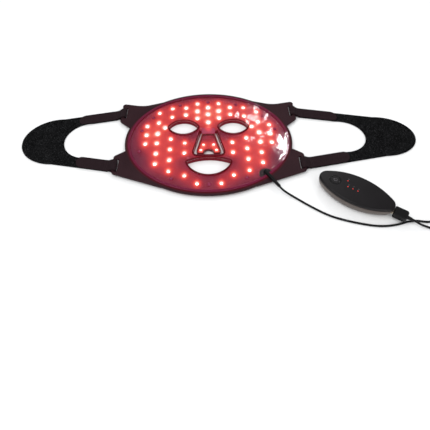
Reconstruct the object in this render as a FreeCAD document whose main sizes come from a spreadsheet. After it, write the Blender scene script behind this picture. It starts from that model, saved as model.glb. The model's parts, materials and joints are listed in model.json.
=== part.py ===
"""LED face mask with two strap pads, four hook tabs and a corded controller.

The mask lies flat with its LED side up. +X is to the right, +Y to the forehead and +Z up.
The origin is on the flat underside, at the bridge of the nose between the eyes.
Plan sizes are measured from the centre of the oval, which lies eye_y below the origin.
"""
import FreeCAD, Part
import math
import os

os.makedirs("parts", exist_ok=True)
V = FreeCAD.Vector
UP = V(0, 0, 1)

SIZES = [
    # oval cover, pan and flange
    ("cover_width", 224.4), ("cover_height", 186.4), ("flange_margin", 4.1),
    ("pan_inset", 1.2), ("pan_wall", 2.0), ("floor_thick", 1.4),
    ("flange_low", 3.15), ("flange_thick", 2.2), ("cover_low", 4.75), ("cover_thick", 1.2),
    ("cover_gap", 0.1), ("rim_width", 3.4), ("rim_rise", 2.45), ("rim_round", 0.8),
    ("lip_width", 2.0), ("lip_rise", 2.2), ("hole_wall", 1.2), ("sheet_gap", 0.3),
    # eyes and mouth
    ("eye_x", 35.5), ("eye_y", 23.0), ("eye_half", 21.0), ("eye_rise", 13.6), ("eye_corner", 3.0),
    ("mouth_y", -43.8), ("mouth_half", 29.3), ("mouth_rise", 8.2), ("mouth_drop", 21.0),
    ("mouth_corner", 2.5),
    # nose opening and flap
    ("hinge_y", 13.0), ("hinge_level", 3.75), ("knuckle_radius", 2.25), ("hinge_gap", 0.35),
    ("nose_slit", 3.6), ("flap_top_half", 8.0), ("flap_low_half", 17.7), ("flap_low_y", -26.6),
    ("arch_radius", 7.0), ("nose_floor", 0.6), ("nose_wall", 1.2),
    # inner sheets and LEDs
    ("flex_thick", 0.3), ("nose_flex_thick", 0.25), ("reflector_low", 3.2), ("reflector_thick", 0.8),
    ("window_radius", 2.2), ("led_length", 3.5), ("led_width", 2.8), ("led_base", 1.1),
    ("led_dome", 1.3), ("spacer_radius", 2.5), ("spacer_rise", 1.9),
    # ears, slots and strap loops
    ("slot_upper_y", 56.0), ("slot_lower_y", -46.0), ("slot_length", 22.0), ("slot_width", 4.0),
    ("bar_width", 4.0), ("ear_reach", 15.8), ("ear_corner", 4.0),
    ("ribbon_width", 18.0), ("ribbon_thick", 1.0), ("loop_play", 0.32), ("strap_slope", 0.19),
    ("loop_reach", 13.65), ("seam_thick", 1.2),
    # strap pads and hook tabs
    ("pad_thick", 2.3), ("pad_start", 7.5), ("tip_length", 50.0), ("hole_end", 35.0),
    ("left_reach", 136.0), ("right_reach", 165.0), ("left_hole", 77.0), ("right_hole", 95.0),
    ("tab_gap", 0.2), ("tab_thick", 1.1), ("tab_clearance", 0.4), ("tab_reach", 63.0),
    ("short_tab_reach", 52.0), ("tab_corner", 8.0),
    # cable, strain relief and terminal
    ("cable_width", 2.6), ("relief_angle", -46.95), ("relief_inset", 1.1), ("relief_turn", -58.9),
    ("relief_length", 23.0), ("relief_inner", 6.5), ("relief_width", 5.0), ("relief_end_width", 4.0),
    ("terminal_radius", 9.0), ("terminal_back", 4.0), ("neck_width", 4.0), ("neck_length", 2.2),
    ("neck_root", 0.5), ("neck_gap", 0.2), ("lead_length", 9.0), ("notch_gap", 0.6), ("wire_width", 0.7),
    ("coil_gap", 171.8), ("coil_y", -155.0), ("coil_radius", 14.3), ("coil_columns", 3.0),
    # controller case
    ("case_gap", 66.3), ("case_y", -100.6), ("case_turn", -34.0), ("case_length", 94.0),
    ("case_width", 44.0), ("case_corner", 11.0), ("foot_length", 82.0), ("foot_width", 35.0),
    ("foot_corner", 7.0), ("case_wall", 1.6),
    ("seam_low", 13.0), ("seam_rise", 1.0), ("case_top", 17.0), ("case_round", 2.2),
    ("gasket_inset", 0.4), ("button_x", -27.0), ("button_width", 11.4), ("button_gap", 0.15),
    ("button_travel", 0.6), ("button_proud", 0.4), ("ring_width", 1.4), ("lens_width", 1.2),
    ("board_low", 5.2), ("board_thick", 1.0), ("board_gap", 0.9), ("screw_width", 1.6),
    ("screw_head", 3.2), ("head_rise", 1.1), ("shank_length", 3.4), ("screw_play", 0.05),
    ("fit_gap", 0.1), ("tact_width", 6.0), ("tact_rise", 3.4), ("plunger_width", 3.2),
    ("plunger_gap", 0.05), ("battery_length", 34.0), ("battery_width", 14.0), ("battery_gap", 0.3),
    # socket and plug
    ("socket_level", 8.0), ("contact_width", 8.3), ("contact_height", 2.5), ("contact_reach", 6.5),
    ("socket_gap", 0.15), ("socket_wall", 0.35), ("plug_length", 16.0), ("plug_width", 13.5),
    ("plug_height", 8.0), ("plug_gap", 0.3), ("boot_length", 5.0), ("boot_width", 4.6),
    ("metal_thick", 0.3), ("socket_depth", 0.6), ("socket_recess", 0.4), ("socket_back", 0.8),
    ("tongue_short", 1.6), ("tongue_width", 6.4), ("tongue_thick", 0.7),
    ("contact_pad_length", 3.2), ("contact_pad_width", 0.3), ("contact_pad_thick", 0.18),
    ("contact_row", 0.72),
]

doc = FreeCAD.newDocument("led_face_mask")
sheet = doc.addObject("Spreadsheet::Sheet", "Sizes")
for row, (alias, value) in enumerate(SIZES, start=1):
    sheet.set("A%d" % row, alias)
    sheet.set("B%d" % row, repr(value))
    sheet.setAlias("B%d" % row, alias)
doc.recompute()

pieces = {}


def cell(alias):
    """One size, read from the sheet."""
    return float(sheet.get(alias))


def level(*terms):
    """Expression for a height: the sum of the named cells."""
    return " + ".join("Sizes." + term for term in terms)


def height(expression):
    """Value of a height written as level() writes it."""
    return sum(cell(term.split(".")[1]) for term in expression.split(" + "))


FLOOR_TOP = level("floor_thick")
FLEX_TOP = level("floor_thick", "flex_thick")
FLANGE_LOW = level("flange_low")
FLANGE_TOP = level("flange_low", "flange_thick")
COVER_LOW = level("cover_low")
COVER_TOP = level("cover_low", "cover_thick")
RIM_TOP = level("cover_low", "rim_rise")
LIP_TOP = level("cover_low", "lip_rise")
GROUND = "0 * Sizes.floor_thick"

half_cover = cell("cover_width") / 2
ear_edge = half_cover + cell("ear_reach")
bar_x = ear_edge - cell("bar_width") / 2
bar_z = cell("flange_low") + cell("flange_thick") / 2
loop_inner = math.hypot(cell("bar_width") / 2, cell("flange_thick") / 2) + cell("loop_play")
loop_outer = loop_inner + cell("ribbon_thick")
strap_turn = math.degrees(math.atan(cell("strap_slope")))
strap_mid_y = (cell("slot_upper_y") + cell("slot_lower_y")) / 2
arm_offset = (cell("slot_upper_y") - cell("slot_lower_y")) / 2
tab_low = cell("pad_thick") + cell("tab_gap")
tab_start = cell("loop_reach") + cell("tab_clearance") + cell("tab_thick") / 2


# ---------------------------------------------------------------- places

MASK_PLACE = FreeCAD.Placement(V(0, -cell("eye_y"), 0), FreeCAD.Rotation())
CASE_PLACE = FreeCAD.Placement(
    V(half_cover + cell("case_gap"), cell("case_y") - cell("eye_y"), 0),
    FreeCAD.Rotation(UP, cell("case_turn")))


def keep(obj, name, place=MASK_PLACE):
    """Name a finished piece and put it in its place."""
    obj.Label = name
    obj.Placement = place
    pieces[name] = obj
    return obj


# ---------------------------------------------------------------- outlines

def oval(half_x, half_y):
    """Closed ellipse about the oval's centre."""
    if half_x >= half_y:
        return [Part.Ellipse(V(half_x, 0, 0), V(0, half_y, 0), V(0, 0, 0))]
    return [Part.Ellipse(V(0, half_y, 0), V(-half_x, 0, 0), V(0, 0, 0))]


def cover_oval(inset):
    """Edge of the cover, moved inwards by inset."""
    return oval(cell("cover_width") / 2 - inset, cell("cover_height") / 2 - inset)


def circle(x, y, radius):
    return [Part.Circle(V(x, y, 0), UP, radius)]


def lens(x, y, half, rise, drop, corner, grow=0.0):
    """Two long arcs, one up and one down, that meet in small rounded corners."""
    def far_arc(reach):
        radius = (half * half - 2 * half * corner + reach * reach) / (2 * (reach - corner))
        away = V(half - corner, radius - reach, 0) * (1 / (radius - corner))
        return V(half - corner, 0, 0) + away * (corner + grow)

    up = far_arc(rise)
    down = far_arc(drop)
    centre = V(x, y, 0)
    right_up, right_down = centre + up, centre + V(down.x, -down.y, 0)
    left_up, left_down = centre + V(-up.x, up.y, 0), centre - down
    return [
        Part.Arc(left_up, centre + V(0, rise + grow, 0), right_up),
        Part.Arc(right_up, centre + V(half + grow, 0, 0), right_down),
        Part.Arc(right_down, centre - V(0, drop + grow, 0), left_down),
        Part.Arc(left_down, centre - V(half + grow, 0, 0), left_up),
    ]


def rounded(points):
    """Closed outline through (x, y, radius) corners, with tangent arcs at the rounded ones."""
    starts, arcs = [], []
    for index, (x, y, radius) in enumerate(points):
        corner = V(x, y, 0)
        before = V(points[index - 1][0], points[index - 1][1], 0)
        after = V(points[(index + 1) % len(points)][0], points[(index + 1) % len(points)][1], 0)
        back = (before - corner).normalize()
        ahead = (after - corner).normalize()
        if radius == 0:
            starts.append((corner, corner))
            arcs.append(None)
            continue
        half_angle = back.getAngle(ahead) / 2
        reach = radius / math.tan(half_angle)
        inward = (back + ahead).normalize()
        middle = corner + inward * (radius / math.sin(half_angle) - radius)
        first, last = corner + back * reach, corner + ahead * reach
        starts.append((first, last))
        arcs.append(Part.Arc(first, middle, last))
    curves = []
    for index, (first, last) in enumerate(starts):
        if arcs[index]:
            curves.append(arcs[index])
        following = starts[(index + 1) % len(starts)][0]
        curves.append(Part.LineSegment(last, following))
    return curves


def rectangle(x, y, length, width, turn=0.0):
    """Rectangle with its centre at x, y and its length turned from +X."""
    place = FreeCAD.Placement(V(x, y, 0), FreeCAD.Rotation(UP, turn))
    corners = [(-1, -1), (1, -1), (1, 1), (-1, 1)]
    points = [place.multVec(V(a * length / 2, b * width / 2, 0)) for a, b in corners]
    return rounded([(p.x, p.y, 0) for p in points])


def eye(side, grow=0.0):
    rise = cell("eye_rise")
    return lens(side * cell("eye_x"), cell("eye_y"), cell("eye_half"), rise, rise,
                cell("eye_corner"), grow)


def mouth(grow=0.0):
    return lens(0, cell("mouth_y"), cell("mouth_half"), cell("mouth_rise"), cell("mouth_drop"),
                cell("mouth_corner"), grow)


def flap_trapezoid(grow, top_y, corner):
    """Outline of the nose flap, moved outwards by grow, from its lower edge up to top_y."""
    low_y = cell("flap_low_y")
    lean = (cell("flap_low_half") - cell("flap_top_half")) / (cell("hinge_y") - low_y)
    top_half = cell("flap_low_half") - lean * (top_y - low_y) + grow
    low_half = cell("flap_low_half") + lean * grow + grow
    return rounded([
        (-top_half, top_y, min(corner, 2.0)), (-low_half, low_y - grow, corner),
        (low_half, low_y - grow, corner), (top_half, top_y, min(corner, 2.0))])


def nose_opening(grow=0.0):
    """Opening that the flap lies in: a slit on three sides and the hinge line on top."""
    top = cell("hinge_y") + cell("knuckle_radius") + cell("hinge_gap") + grow
    return flap_trapezoid(cell("nose_slit") + grow, top, 5.0 + grow)


def openings(grow=0.0):
    return eye(-1, grow) + eye(1, grow) + mouth(grow) + nose_opening(grow)


# ---------------------------------------------------------------- features

def new_body(name):
    return doc.addObject("PartDesign::Body", name)


def sketch(body, name, curves, base):
    """Sketch on the body's own XY plane, raised to the height that base gives."""
    result = body.newObject("Sketcher::SketchObject", name)
    plane = [item for item in body.Origin.OriginFeatures if item.Role == "XY_Plane"][0]
    result.AttachmentSupport = (plane, [""])
    result.MapMode = "FlatFace"
    result.setExpression("AttachmentOffset.Base.z", base)
    result.addGeometry(curves, False)
    return result


def pad(body, name, curves, low, high):
    """Solid between two heights."""
    feature = body.newObject("PartDesign::Pad", name)
    feature.Profile = sketch(body, name + "_outline", curves, low)
    feature.setExpression("Length", "(%s) - (%s)" % (high, low))
    body.Tip = feature
    return feature


def cut(body, name, curves, low, high):
    """Pocket downwards from one height to another."""
    feature = body.newObject("PartDesign::Pocket", name)
    feature.Profile = sketch(body, name + "_outline", curves, high)
    feature.setExpression("Length", "(%s) - (%s)" % (high, low))
    body.Tip = feature
    return feature


def soften(body, name, size, belongs):
    """Fillet on the edges of the body's last feature for which belongs(edge) is true."""
    doc.recompute()
    base = body.Tip
    edges = ["Edge%d" % (i + 1) for i, edge in enumerate(base.Shape.Edges) if belongs(edge)]
    feature = body.newObject("PartDesign::Fillet", name)
    feature.Base = (base, edges)
    feature.setExpression("Radius", size)
    body.Tip = feature
    return feature


def cylinder(name, radius, length, place):
    """Part cylinder along its own Z; radius and length are expressions or numbers."""
    result = doc.addObject("Part::Cylinder", name)
    for prop, value in (("Radius", radius), ("Height", length)):
        if isinstance(value, str):
            result.setExpression(prop, value)
        else:
            setattr(result, prop, value)
    result.Placement = place
    return result


def block(name, size, place):
    """Part box with its corner at place; size holds expressions or numbers."""
    result = doc.addObject("Part::Box", name)
    for prop, value in zip(("Length", "Width", "Height"), size):
        if isinstance(value, str):
            result.setExpression(prop, value)
        else:
            setattr(result, prop, value)
    result.Placement = place
    return result


def fuse(name, items):
    result = doc.addObject("Part::MultiFuse", name)
    result.Shapes = items
    return result


def subtract(name, base, tool):
    result = doc.addObject("Part::Cut", name)
    result.Base = base
    result.Tool = tool
    return result


def group(name, shapes, place=MASK_PLACE):
    """Several separate solids in one piece, such as a set of LEDs."""
    result = doc.addObject("Part::Feature", name)
    result.Shape = Part.makeCompound(shapes)
    return keep(result, name, place)


def copy_at(shape, x, y, z):
    result = shape.copy()
    result.translate(V(x, y, z))
    return result


ALONG_Y = FreeCAD.Rotation(V(1, 0, 0), -90)
ALONG_X = FreeCAD.Rotation(V(0, 1, 0), 90)


# ---------------------------------------------------------------- back shell

def ear_outlines(side):
    """Upper and lower ear on one side, both reaching well inside the oval flange."""
    edge, corner = ear_edge, cell("ear_corner")
    half_x = cell("cover_width") / 2 + cell("flange_margin")
    half_y = cell("cover_height") / 2 + cell("flange_margin")
    slot_half = cell("slot_length") / 2
    top = cell("slot_upper_y") + slot_half + 10.0
    low = cell("slot_upper_y") - slot_half - 6.0
    upper = [
        (half_x * 0.5, half_y * 0.6, 0), (half_x * 0.58, half_y * 0.815, 0),
        (half_x * 0.83, top - 6.5, 40.0), (edge + 1.0, top, corner),
        (edge, cell("slot_upper_y") + slot_half, 0), (edge, cell("slot_upper_y") - slot_half, 0),
        (edge + 1.0, low, corner), (half_x * 0.94, low - 17.0, 0)]
    first = cell("slot_lower_y") + slot_half + 5.0
    last = cell("slot_lower_y") - slot_half - 2.5
    lower = [
        (half_x * 0.94, first + 12.0, 0), (edge, first, 5.0), (edge, last, 6.0),
        (half_x * 0.52, -half_y * 0.86, 0), (half_x * 0.4, -half_y * 0.6, 0)]
    return [rounded([(side * x, y, r) for x, y, r in points]) for points in (upper, lower)]


def slots():
    width = cell("slot_width")
    x = ear_edge - cell("bar_width") - width / 2
    curves = []
    for side in (-1, 1):
        for y in (cell("slot_upper_y"), cell("slot_lower_y")):
            half, reach = width / 2, cell("slot_length") / 2
            curves += rounded([
                (side * x - half, y - reach, 1.2), (side * x + half, y - reach, 1.2),
                (side * x + half, y + reach, 1.2), (side * x - half, y + reach, 1.2)])
    return curves


def build_back_shell():
    body = new_body("back_shell")
    pan = cell("pan_inset")
    margin = cell("flange_margin")
    pad(body, "pan_block", cover_oval(pan), GROUND, FLANGE_TOP)
    pad(body, "flange", cover_oval(-margin), FLANGE_LOW, FLANGE_TOP)
    for side, word in ((-1, "left"), (1, "right")):
        for outline, name in zip(ear_outlines(side), ("upper", "lower")):
            pad(body, "%s_%s_ear" % (word, name), outline, FLANGE_LOW, FLANGE_TOP)
    wall = cell("hole_wall")
    cut(body, "cavity", cover_oval(pan + cell("pan_wall")) + openings(wall), FLOOR_TOP, FLANGE_TOP)
    cut(body, "cover_seat", cover_oval(-cell("cover_gap")), COVER_LOW, FLANGE_TOP)
    cut(body, "face_openings", openings(), GROUND, FLANGE_TOP)
    cut(body, "strap_slots", slots(), GROUND, FLANGE_TOP)
    keep(body, "back_shell")


# ---------------------------------------------------------------- cover

def build_face_cover():
    body = new_body("face_cover")
    pad(body, "cover_plate", cover_oval(0), COVER_LOW, COVER_TOP)
    rim = cell("rim_width")
    pad(body, "rim", cover_oval(0) + cover_oval(rim), COVER_LOW, RIM_TOP)
    top = height(RIM_TOP)
    soften(body, "rim_rounding", "Sizes.rim_round",
           lambda edge: abs(edge.BoundBox.ZMin - top) < 1e-4 and abs(edge.BoundBox.ZMax - top) < 1e-4)
    lip = cell("lip_width")
    for name, outline in (("left_eye", eye(-1, lip)), ("right_eye", eye(1, lip)),
                          ("mouth", mouth(lip)), ("nose", nose_opening(lip))):
        pad(body, name + "_lip", outline, COVER_LOW, LIP_TOP)
    top_y = cell("hinge_y") + cell("knuckle_radius") + lip
    cut(body, "nose_lip_gap", rectangle(0, top_y, 2 * cell("flap_top_half") + 8.0, 2 * lip + 1.0),
        COVER_TOP, LIP_TOP)
    cut(body, "cover_openings", openings(), COVER_LOW, LIP_TOP)
    width = cell("relief_width") + 2 * cell("notch_gap")
    notch = relief_point - relief_way * ((cell("relief_inner") + cell("notch_gap") - cell("rim_width")) / 2)
    length = cell("relief_inner") + cell("notch_gap") + cell("rim_width")
    cut(body, "cable_notch", rectangle(notch.x, notch.y, length, width, cell("relief_turn")),
        COVER_LOW, RIM_TOP)
    keep(body, "face_cover")


# ---------------------------------------------------------------- LEDs and inner sheets

# distance from the middle line, then the heights of that column's LEDs on the face
LED_COLUMNS = {
    0: (67.5, 52, 35, 20),
    16: (76, 59, 43),
    33: (67, 51, -6, -25),
    53: (66, 47, 2, -18, -37.5, -57),
    72: (56, 35, 12.5, -6, -25.5, -44),
    88: (28, 10, -7),
}
LED_SINGLES = ((62, 24.7), (32, -64.5), (15.5, -78))
FLAP_LEDS = ((7, -9.5), (10.7, -19.5))
SPACERS = ((0, 76.5), (42, 70.5), (80, 44), (94.5, 17), (94, -22.5), (48.7, -71), (0, -81))


def both_sides(points):
    """The points and their mirror images; a point on the centre line counts once."""
    return [(side * x, y) for x, y in points for side in ((1, -1) if x else (1,))]


def face_leds():
    columns = [(x, y) for x, rows in LED_COLUMNS.items() for y in rows]
    return both_sides(columns + list(LED_SINGLES))


def led_area(x, y):
    if y > 30:
        return "led_forehead"
    if y < -50:
        return "led_chin"
    return "led_right_cheek" if x > 0 else "led_left_cheek" if x < 0 else "led_forehead"


def led_seed():
    """One LED: a flat package with a small dome on it."""
    length, width = cell("led_length"), cell("led_width")
    base = block("led_package", ("Sizes.led_length", "Sizes.led_width", "Sizes.led_base"),
                 FreeCAD.Placement(V(-length / 2, -width / 2, 0), FreeCAD.Rotation()))
    dome = doc.addObject("Part::Sphere", "led_dome")
    dome.setExpression("Radius", "Sizes.led_dome")
    dome.Angle1 = 0
    dome.Placement.Base = V(0, 0, cell("led_base"))
    seed = fuse("led_seed", [base, dome])
    doc.recompute()
    return seed.Shape


def build_leds():
    seed = led_seed()
    areas = {}
    for x, y in face_leds():
        areas.setdefault(led_area(x, y), []).append(copy_at(seed, x, y, height(FLEX_TOP)))
    for name, shapes in areas.items():
        group(name, shapes)
    base = nose_low + cell("nose_floor") + cell("nose_flex_thick")
    group("nose_leds", [copy_at(seed, x, y, base) for x, y in both_sides(FLAP_LEDS)])


def build_inner_sheets():
    inset = cell("pan_inset") + cell("pan_wall") + cell("sheet_gap")
    grow = cell("hole_wall") + cell("sheet_gap")
    outline = cover_oval(inset) + openings(grow)
    flex = new_body("flex_circuit")
    pad(flex, "flex_sheet", outline, FLOOR_TOP, FLEX_TOP)
    keep(flex, "flex_circuit")
    reflector = new_body("reflector_sheet")
    low, high = level("reflector_low"), level("reflector_low", "reflector_thick")
    pad(reflector, "reflector_plate", cover_oval(inset) + openings(grow), low, high)
    windows = []
    for x, y in face_leds():
        windows += circle(x, y, cell("window_radius"))
    cut(reflector, "led_windows", windows, low, high)
    cut(reflector, "terminal_space",
        circle(terminal.x, terminal.y, cell("terminal_radius") + cell("sheet_gap")), low, high)
    keep(reflector, "reflector_sheet")


def build_spacers():
    seed = doc.addObject("Part::Sphere", "spacer_seed")
    radius, rise = cell("spacer_radius"), cell("spacer_rise")
    ball = (radius * radius + rise * rise) / (2 * rise)
    seed.Radius = ball
    seed.Angle1 = math.degrees(math.asin((ball - rise) / ball))
    seed.Placement.Base = V(0, 0, rise - ball)
    doc.recompute()
    group("skin_spacers", [copy_at(seed.Shape, x, y, height(COVER_TOP)) for x, y in both_sides(SPACERS)])


# ---------------------------------------------------------------- nose flap

nose_low = cell("hinge_level") - cell("knuckle_radius")
NOSE_LOW = "(Sizes.hinge_level - Sizes.knuckle_radius)"
NOSE_FLOOR = NOSE_LOW + " + Sizes.nose_floor"
NOSE_FLEX = NOSE_FLOOR + " + Sizes.nose_flex_thick"
NOSE_TOP = "(Sizes.hinge_level + Sizes.knuckle_radius)"
NOSE_TRAY_TOP = NOSE_TOP + " - Sizes.cover_thick"


def half_disc(radius):
    """Half disc above the flap's lower edge."""
    y = cell("flap_low_y")
    arc = Part.Arc(V(radius, y, 0), V(0, y + radius, 0), V(-radius, y, 0))
    return [arc, Part.LineSegment(V(-radius, y, 0), V(radius, y, 0))]


def build_nose_flap():
    wall = cell("nose_wall")
    arch = circle(0, cell("flap_low_y"), cell("arch_radius"))
    tray = new_body("nose_tray")
    inner_top = cell("hinge_y") - cell("knuckle_radius") - wall
    pad(tray, "tray_block", flap_trapezoid(0, cell("hinge_y"), 4.0), NOSE_LOW, NOSE_TRAY_TOP)
    cut(tray, "tray_cavity", flap_trapezoid(-wall, inner_top, 3.0), NOSE_FLOOR, NOSE_TRAY_TOP)
    pad(tray, "arch_wall", half_disc(cell("arch_radius") + wall), NOSE_LOW, NOSE_TRAY_TOP)
    cut(tray, "arch", arch, NOSE_LOW, NOSE_TRAY_TOP)
    half = cell("flap_top_half")
    knuckle = cylinder("knuckle", "Sizes.knuckle_radius", "2 * Sizes.flap_top_half",
                       FreeCAD.Placement(V(-half, cell("hinge_y"), cell("hinge_level")), ALONG_X))
    keep(fuse("nose_shell", [tray, knuckle]), "nose_shell")

    cover = new_body("nose_cover")
    plate_top = cell("hinge_y") - cell("knuckle_radius") + 0.15
    pad(cover, "nose_plate", flap_trapezoid(0, plate_top, 4.0), NOSE_TRAY_TOP, NOSE_TOP)
    cut(cover, "cover_arch", arch, NOSE_TRAY_TOP, NOSE_TOP)
    top = cell("hinge_level") + cell("knuckle_radius")
    soften(cover, "nose_plate_rounding", "Sizes.cover_thick * 0.4",
           lambda edge: edge.BoundBox.ZMin > top - 1e-4 and edge.BoundBox.YMax < plate_top - 1e-3)
    keep(cover, "nose_cover")

    flex = new_body("nose_flex")
    gap = wall + cell("sheet_gap")
    pad(flex, "nose_flex_sheet", flap_trapezoid(-gap, inner_top - cell("sheet_gap"), 3.0),
        NOSE_FLOOR, NOSE_FLEX)
    cut(flex, "flex_arch", circle(0, cell("flap_low_y"), cell("arch_radius") + gap),
        NOSE_FLOOR, NOSE_FLEX)
    keep(flex, "nose_flex")


# ---------------------------------------------------------------- straps

def half_oval(x, y, half_x, half_y, side):
    """Half ellipse on the outboard side of x, from y + half_y to y - half_y."""
    centre = V(x, y, 0)
    if half_x >= half_y:
        ellipse = Part.Ellipse(centre + V(half_x, 0, 0), centre + V(0, half_y, 0), centre)
        start = -math.pi / 2 if side > 0 else math.pi / 2
    else:
        ellipse = Part.Ellipse(centre + V(0, half_y, 0), centre - V(half_x, 0, 0), centre)
        start = -math.pi if side > 0 else 0.0
    return Part.ArcOfEllipse(ellipse, start, start + math.pi)


def build_pad(word, side, reach, hole):
    """U shaped loop pad: two arms that converge outboard and a rounded tip."""
    half = cell("ribbon_width") / 2
    tip_start, hole_start = reach - cell("tip_length"), hole - cell("hole_end")

    def spread(distance, extra):
        return arm_offset + extra - cell("strap_slope") * distance

    def point(distance, offset):
        return V(side * (bar_x + distance), strap_mid_y + offset, 0)

    start = cell("pad_start")
    curves = [half_oval(side * (bar_x + tip_start), strap_mid_y, cell("tip_length"),
                        spread(tip_start, half), side),
              half_oval(side * (bar_x + hole_start), strap_mid_y, cell("hole_end"),
                        spread(hole_start, -half), side)]
    for sign in (-1, 1):
        outer = point(start, sign * spread(start, half))
        inner = point(start, sign * spread(start, -half))
        curves.append(Part.LineSegment(outer, point(tip_start, sign * spread(tip_start, half))))
        curves.append(Part.LineSegment(inner, point(hole_start, sign * spread(hole_start, -half))))
        curves.append(Part.LineSegment(outer, inner))
    body = new_body(word + "_pad")
    pad(body, word + "_pad_felt", curves, GROUND, level("pad_thick"))
    keep(body, word + "_pad")


def strap_frame(side, upper, distance, z):
    """Place at a distance outboard along one ribbon, with its X along the ribbon."""
    slot_y = cell("slot_upper_y") if upper else cell("slot_lower_y")
    lean = -1 if upper else 1
    y = slot_y + lean * cell("strap_slope") * distance
    turn = lean * strap_turn if side > 0 else 180 - lean * strap_turn
    return FreeCAD.Placement(V(side * (bar_x + distance), y, z), FreeCAD.Rotation(UP, turn))


def build_loop(name, side, upper):
    """Ribbon folded round the ear's bar, with its two layers sewn flat over the arm."""
    slot_y = cell("slot_upper_y") if upper else cell("slot_lower_y")
    width = cell("ribbon_width")
    axis = FreeCAD.Placement(V(side * bar_x, slot_y - width / 2, bar_z), ALONG_Y)
    long_axis = FreeCAD.Placement(V(side * bar_x, slot_y - width, bar_z), ALONG_Y)
    fold = cylinder(name + "_fold", loop_outer, "Sizes.ribbon_width", axis)
    room = cylinder(name + "_room", loop_inner, "2 * Sizes.ribbon_width", long_axis)
    start = loop_inner - 0.4
    frame = strap_frame(side, upper, 0, cell("pad_thick"))
    corner = frame.multVec(V(start, -width / 2, 0))
    length = (cell("loop_reach")) / math.cos(math.radians(strap_turn)) - start
    tail = block(name + "_seam", (length, "Sizes.ribbon_width", "Sizes.seam_thick"),
                 FreeCAD.Placement(corner, frame.Rotation))
    keep(subtract(name, fuse(name + "_ribbon", [fold, tail]), room), name)


def build_tab(name, side, upper, reach):
    """Hook tab with a rounded end, hinged where the ribbon's seam stops."""
    half, corner = cell("ribbon_width") / 2, cell("tab_corner")
    length = reach - tab_start
    body = new_body(name)
    curves = rounded([(0, -half, 0), (length, -half, corner), (length, half, corner), (0, half, 0)])
    pad(body, name + "_ribbon", curves, GROUND, level("tab_thick"))
    keep(body, name, MASK_PLACE.multiply(strap_frame(side, upper, tab_start, tab_low)))


def build_straps():
    for word, side in (("left", -1), ("right", 1)):
        build_pad(word, side, cell(word + "_reach"), cell(word + "_hole"))
        for level_word, upper in (("upper", True), ("lower", False)):
            name = "%s_%s" % (word, level_word)
            build_loop(name + "_loop", side, upper)
            short = name == "left_lower"
            build_tab(name + "_tab", side, upper, cell("short_tab_reach" if short else "tab_reach"))


# ---------------------------------------------------------------- cable

relief_way = V(math.cos(math.radians(cell("relief_turn"))), math.sin(math.radians(cell("relief_turn"))), 0)
relief_angle = math.radians(cell("relief_angle"))
relief_point = V((half_cover - cell("relief_inset")) * math.cos(relief_angle),
                 (cell("cover_height") / 2 - cell("relief_inset")) * math.sin(relief_angle), 0)
relief_z = cell("flange_low") + cell("flange_thick") + cell("relief_width") / 2
terminal = relief_point - relief_way * cell("terminal_back")


def build_terminal():
    """Half-moon block under the cover, with a neck up into the strain relief."""
    room = cell("cover_low") - height(FLEX_TOP) - cell("fit_gap")
    disc = cylinder("terminal_disc", "Sizes.terminal_radius", room,
                    FreeCAD.Placement(V(terminal.x, terminal.y, height(FLEX_TOP)), FreeCAD.Rotation()))
    limit_body = new_body("terminal_limit")
    inset = cell("pan_inset") + cell("pan_wall") + cell("sheet_gap")
    pad(limit_body, "terminal_edge", cover_oval(inset), GROUND, RIM_TOP)
    trimmed = doc.addObject("Part::Common", "terminal_block")
    trimmed.Base = disc
    trimmed.Tool = limit_body
    width = cell("neck_width")
    neck_frame = FreeCAD.Placement(relief_point, FreeCAD.Rotation(UP, cell("relief_turn")))
    root = height(COVER_LOW) - cell("neck_root")
    corner = neck_frame.multVec(V(cell("neck_gap") - cell("relief_inner"), -width / 2, root))
    neck = block("terminal_neck", ("Sizes.neck_length", "Sizes.neck_width", relief_z - root),
                 FreeCAD.Placement(corner, neck_frame.Rotation))
    keep(fuse("cable_terminal", [trimmed, neck]), "cable_terminal")


def build_relief():
    relief = doc.addObject("Part::Cone", "strain_relief")
    relief.setExpression("Radius1", "Sizes.relief_width / 2")
    relief.setExpression("Radius2", "Sizes.relief_end_width / 2")
    relief.setExpression("Height", "Sizes.relief_length + Sizes.relief_inner")
    start = relief_point - relief_way * cell("relief_inner") + V(0, 0, relief_z)
    keep(relief, "strain_relief", FreeCAD.Placement(start, FreeCAD.Rotation(UP, relief_way)))
    relief.Placement = MASK_PLACE.multiply(relief.Placement)


def build_lead_wires():
    """Four wires from the terminal to the flex circuit."""
    way = relief_way * -1
    across = V(way.y, -way.x, 0)
    radius = cell("wire_width") / 2
    start = terminal + way * (cell("terminal_radius") + cell("neck_gap")) + V(0, 0, height(FLEX_TOP) + radius)
    wires = []
    for index in range(4):
        offset = across * ((index - 1.5) * 2 * cell("wire_width"))
        wires.append(Part.makeCylinder(radius, cell("lead_length"), start + offset, way))
    group("lead_wires", wires)


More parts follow.
